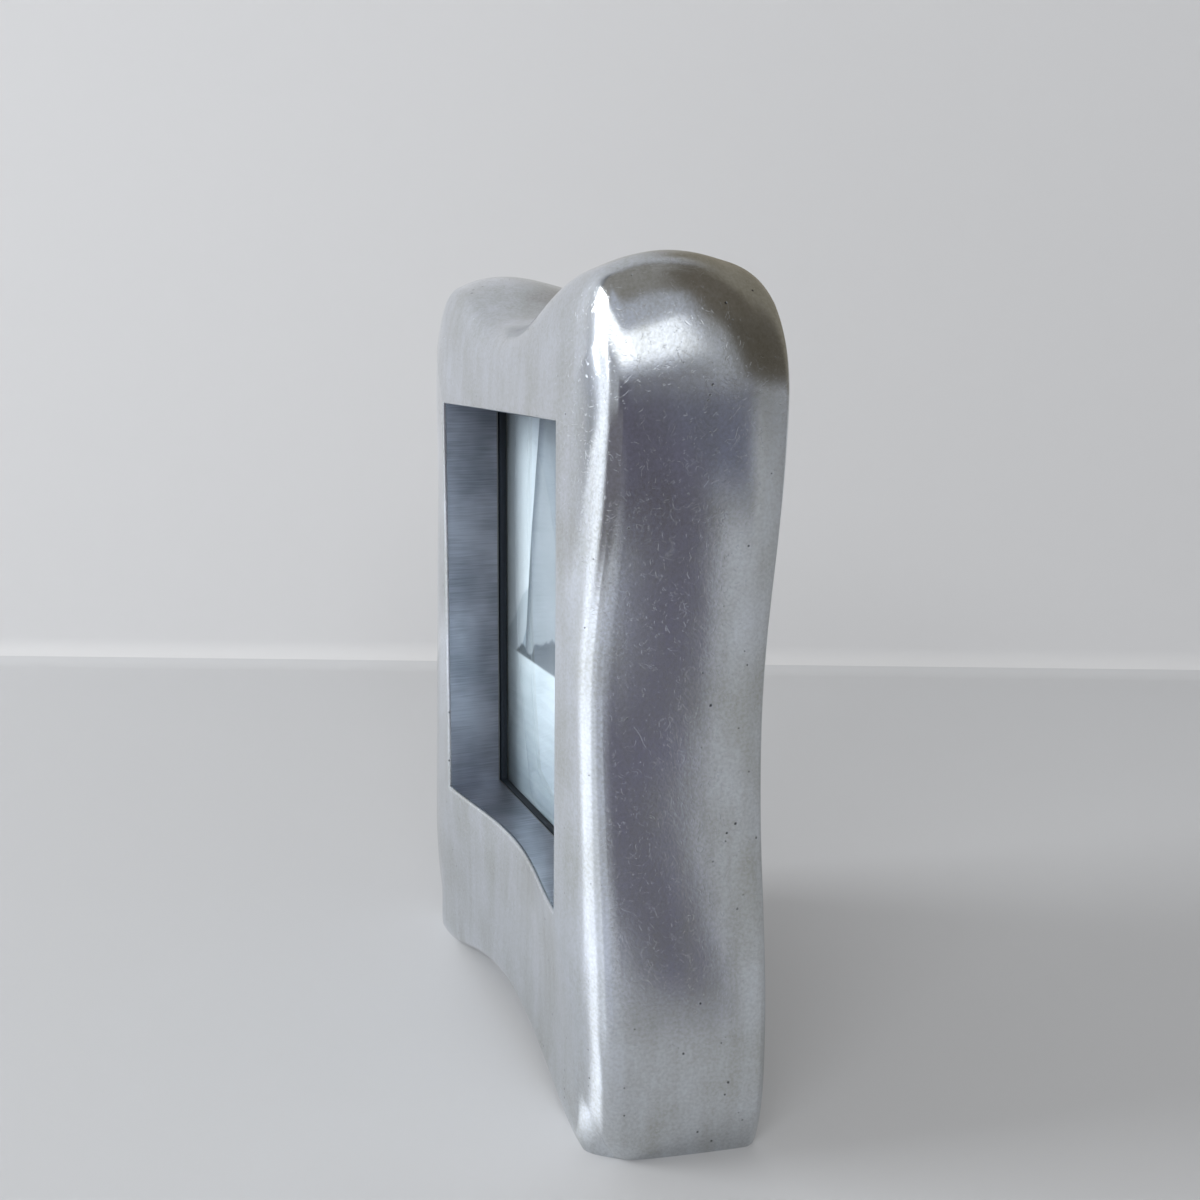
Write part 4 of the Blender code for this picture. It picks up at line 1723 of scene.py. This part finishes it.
class Flag(NamedTuple):
    """A curved glowing card with soft edges that only gloss sees, as flags round polished metal
    are: a painted reflection of a brighter or darker part of the room.

    The angles are in degrees. The distance is from the object's right side and the height is
    that of the card's middle, in metres.
    """

    name: str
    azimuths: Span
    elevations: Span
    distance: float
    soft: Span
    strength: float
    colour: str
    height: float = 85 * MM
    lean: float = 0.0

    def material(self) -> Material:
        """An even glow that fades out towards the flag's rim.

        Returns:
            The material.
        """
        made = bpy.data.materials.new(self.name)
        made.use_nodes = True
        add = partial(add_node, made.node_tree)
        cover = add(ATTRIBUTE, output="Fac", attribute_name="cover")
        clear = add("ShaderNodeBsdfTransparent")
        glow = add("ShaderNodeEmission", {"Color": self.colour, "Strength": self.strength})
        mixed = add("ShaderNodeMixShader", (cover, clear, glow))
        feed(made.node_tree.nodes["Material Output"], {"Surface": mixed})
        return made


@dataclass
class Studio:
    """Pale floor and backdrop, soft lamps, and the camera at the photograph's place."""

    focal_ratio: float = 1198.5 / 1200
    sensor: float = 36.0
    camera_place: Point = (232.9 * MM, -90.9 * MM, 147.0 * MM)
    heading: float = 23.01
    pitch: float = 11.74
    roll: float = 0.68
    clip_start: float = 10 * MM
    backdrop_distance: float = 549 * MM
    backdrop_height: float = 2.4
    floor_reach: float = 6.0
    floor_drop: float = 0.02 * MM
    side_reach: float = 3.0
    cove_radius: float = 12 * MM
    cove_steps: int = 8
    # In gloss the floor has a painted pool of window light and the backdrop painted shade
    floor: PlainSurface = PlainSurface("floor", "#c6c7c9", "#d0d1d3", "#ebedf1", 0.02, 0.09)
    backdrop: PlainSurface = PlainSurface("backdrop", "#d6d6d7", "#e6e6e8", "#8e9094", 0.35, 1.0)
    sky_colour: str = "#bfc1c5"
    ceiling_colour: str = "#a5a29c"
    ceiling_span: Span = (0.30, 0.65)
    target: Point = (0.0, 0.0, 85 * MM)
    flag_centre: Span = (50 * MM, -5 * MM)
    flag_columns: int = 33
    flag_rows: int = 17
    softboxes: tuple[Softbox, ...] = (
        Softbox("window_front", -21, 21, 2.2, 0.80, 1.24, 10.5, "#fbfdff", True),
        Softbox("window_side", 56, 28, 1.5, 1.50, 0.40, 5.4, "#fbfdff", False),
    )
    flags: tuple[Flag, ...] = (
        Flag("window_band", (-10, 90), (17, 40), 0.75, (14, 7), 2.2, "#fbfdff", lean=-0.3),
        Flag("window_haze", (-14, 87), (10, 60), 0.80, (14, 10), 0.70, "#eef2fb"),
        Flag("window_strip", (-35, -6), (-14, 24), 0.60, (10, 10), 1.3, "#f4f8ff"),
        Flag("dark_room_side", (20, 88), (-30, 15.5), 0.70, (20, 2.5), 0.19, "#f0ecff"),
        Flag("dim_room_behind", (86, 210), (2, 50), 0.72, (10, 12), 0.13, "#fff0d6"),
        Flag("dim_ceiling", (40, 240), (32, 90), 0.90, (60, 14), 0.17, "#fff0d8"),
        Flag("lit_table", (-35, -10), (-58, 46), 0.09, (11, 14), 1.9, "#f4f8ff", lean=0.08),
        Flag("table_edge", (-20, 20), (-50, 8), 0.095, (12, 10), 1.8, "#f4f8ff", lean=0.4),
        Flag("table_glow", (-16, 42), (-70, 0), 0.105, (14, 12), 1.1, "#f4f8ff"),
        Flag("lit_floor", (-27, 8), (-75, 0), 0.036, (12, 12), 1.8, "#f4f8ff", 36 * MM),
        Flag("room_front", (0, 88), (-70, -2), 0.115, (16, 10), 0.86, "#e8ecf6"),
        Flag("dim_room", (-14, 78), (-8, 28), 0.12, (12, 8), 0.27, "#eee9f4"),
        Flag("dark_side", (67, 93), (-58, 42), 0.10, (9, 16), 0.20, "#ece6ff", lean=-0.35),
        Flag("dark_side_top", (66, 112), (-6, 42), 0.105, (16, 20), 0.25, "#e6e8ff"),
        Flag("dim_wall_behind", (150, 262), (6, 80), 0.26, (30, 20), 0.30, "#fff4dc"),
    )

    def along(self) -> Vector:
        """The camera's level heading."""
        angle = math.radians(self.heading)
        return Vector((-math.cos(angle), math.sin(angle), 0.0))

    def build_camera(self) -> None:
        """The camera, from its heading, pitch and roll."""
        data = bpy.data.cameras.new("camera")
        data.sensor_fit = "HORIZONTAL"
        data.sensor_width = self.sensor
        data.lens = self.sensor * self.focal_ratio
        data.clip_start = self.clip_start
        camera = link_new("camera", data)
        level = self.along()
        pitch, roll = math.radians(self.pitch), math.radians(self.roll)
        forward = level * math.cos(pitch) - Vector((0, 0, 1)) * math.sin(pitch)
        right = level.cross(Vector((0, 0, 1))).normalized()
        up = right.cross(forward)
        turned_right = right * math.cos(roll) + up * math.sin(roll)
        turned_up = up * math.cos(roll) - right * math.sin(roll)
        axes = Matrix((turned_right, turned_up, -forward)).transposed()
        camera.matrix_world = Matrix.Translation(self.camera_place) @ axes.to_4x4()
        bpy.context.scene.camera = camera

    def build_sweep(self) -> None:
        """A floor that turns up into a backdrop behind the object, seen from the camera."""
        level = self.along()
        side = Vector((-level.y, level.x, 0.0)) * self.side_reach
        wall = Vector(self.camera_place) + level * self.backdrop_distance
        wall.z = -self.floor_drop
        radius = self.cove_radius
        cove = arc((-radius, radius), radius, -math.pi / 2, 0.0, self.cove_steps)
        half = self.cove_steps // 2
        floor_line = [(-self.floor_reach, 0.0), *cove[: half + 1]]
        wall_line = [*cove[half:], (0.0, self.backdrop_height)]
        for line, surface in ((floor_line, self.floor), (wall_line, self.backdrop)):
            middles = [wall + level * reach + Vector((0, 0, height)) for reach, height in line]
            points = [middle + turn * side for middle in middles for turn in (-1, 1)]
            faces = [(i, i + 1, i + 3, i + 2) for i in range(0, len(points) - 2, 2)]
            mesh = bpy.data.meshes.new(surface.name)
            mesh.from_pydata(points, [], faces)
            mesh.shade_smooth()
            mesh.materials.append(surface.material())
            link_new(surface.name, mesh)

    def build_lamps(self) -> None:
        """Soft lamps whose power follows from how bright they look and how large they are."""
        for box in self.softboxes:
            data = bpy.data.lights.new(box.name, "AREA")
            data.shape = "RECTANGLE"
            data.size, data.size_y = box.width, box.height
            data.energy = math.pi * box.brightness * box.width * box.height
            data.color = linear(box.colour)[:3]
            lamp = link_new(box.name, data)
            a, e = math.radians(box.azimuth), math.radians(box.elevation)
            away = Vector((math.sin(a) * math.cos(e), -math.cos(a) * math.cos(e), math.sin(e)))
            turn = (-away).to_track_quat("-Z", "Y").to_matrix().to_4x4()
            place = Vector(self.target) + away * box.distance
            lamp.matrix_world = Matrix.Translation(place) @ turn
            lamp.visible_camera = False
            lamp.visible_glossy = box.in_gloss
            lamp.visible_transmission = False

    def build_flags(self) -> None:
        """Glowing cards: painted reflections that stand for the brighter and darker parts of the
        room in the gloss.
        """
        columns, rows = self.flag_columns, self.flag_rows
        corners = [i * rows + j for i in range(columns - 1) for j in range(rows - 1)]
        faces = [(k, k + rows, k + rows + 1, k + 1) for k in corners]
        shares = np.linspace(0, 1, columns), np.linspace(0, 1, rows)
        side, rise = np.meshgrid(*shares, indexing="ij")
        for flag in self.flags:
            elevation = flag.elevations[0] + rise * np.ptp(flag.elevations)
            azimuth = flag.azimuths[0] + side * np.ptp(flag.azimuths) + flag.lean * elevation
            a, e = np.radians(azimuth), np.radians(elevation)
            away = np.stack((np.sin(a) * np.cos(e), -np.cos(a) * np.cos(e), np.sin(e)), axis=-1)
            points = np.array((*self.flag_centre, flag.height)) + flag.distance * away
            from_side = np.minimum(side, 1 - side) * np.ptp(flag.azimuths) / flag.soft[0]
            from_end = np.minimum(rise, 1 - rise) * np.ptp(flag.elevations) / flag.soft[1]
            ease = np.minimum(from_side, from_end).clip(0.0, 1.0)
            mesh = bpy.data.meshes.new(flag.name)
            mesh.from_pydata(points.reshape(-1, 3).tolist(), [], faces)
            cover = mesh.attributes.new("cover", "FLOAT", "POINT")
            cover.data.foreach_set("value", (ease * ease * (3 - 2 * ease)).ravel())
            mesh.materials.append(flag.material())
            card = link_new(flag.name, mesh)
            card.visible_camera = False
            card.visible_diffuse = False
            card.visible_shadow = False
            card.visible_transmission = False

    def build_world(self) -> None:
        """Soft light from all round, darker and browner overhead."""
        world = bpy.data.worlds.new("studio")
        world.use_nodes = True
        add = partial(add_node, world.node_tree)
        up = add(AXES, (add(COORDINATES, output="Generated"),)).node.outputs["Z"]
        share = add(RANGE, (up, *self.ceiling_span), interpolation_type="SMOOTHSTEP")
        colour = add(MIX, (share, self.sky_colour, self.ceiling_colour), data_type="RGBA")
        feed(world.node_tree.nodes["Background"], {"Color": colour})
        bpy.context.scene.world = world

    def build(self) -> None:
        """Makes the whole studio."""
        self.build_sweep()
        self.build_world()
        self.build_lamps()
        self.build_flags()
        self.build_camera()
        bpy.context.scene.view_settings.view_transform = "Standard"


def main() -> None:
    """Builds the object's sub-assemblies in order, then the studio."""
    logging.basicConfig(level=logging.INFO, format="%(name)s: %(message)s")
    Casting().build()
    PicturePack().build()
    fasteners = fastener_tree()
    TurnButton().build(fasteners)
    ButtonScrews().build(fasteners)
    Studio().build()


if __name__ == "__main__":
    main()
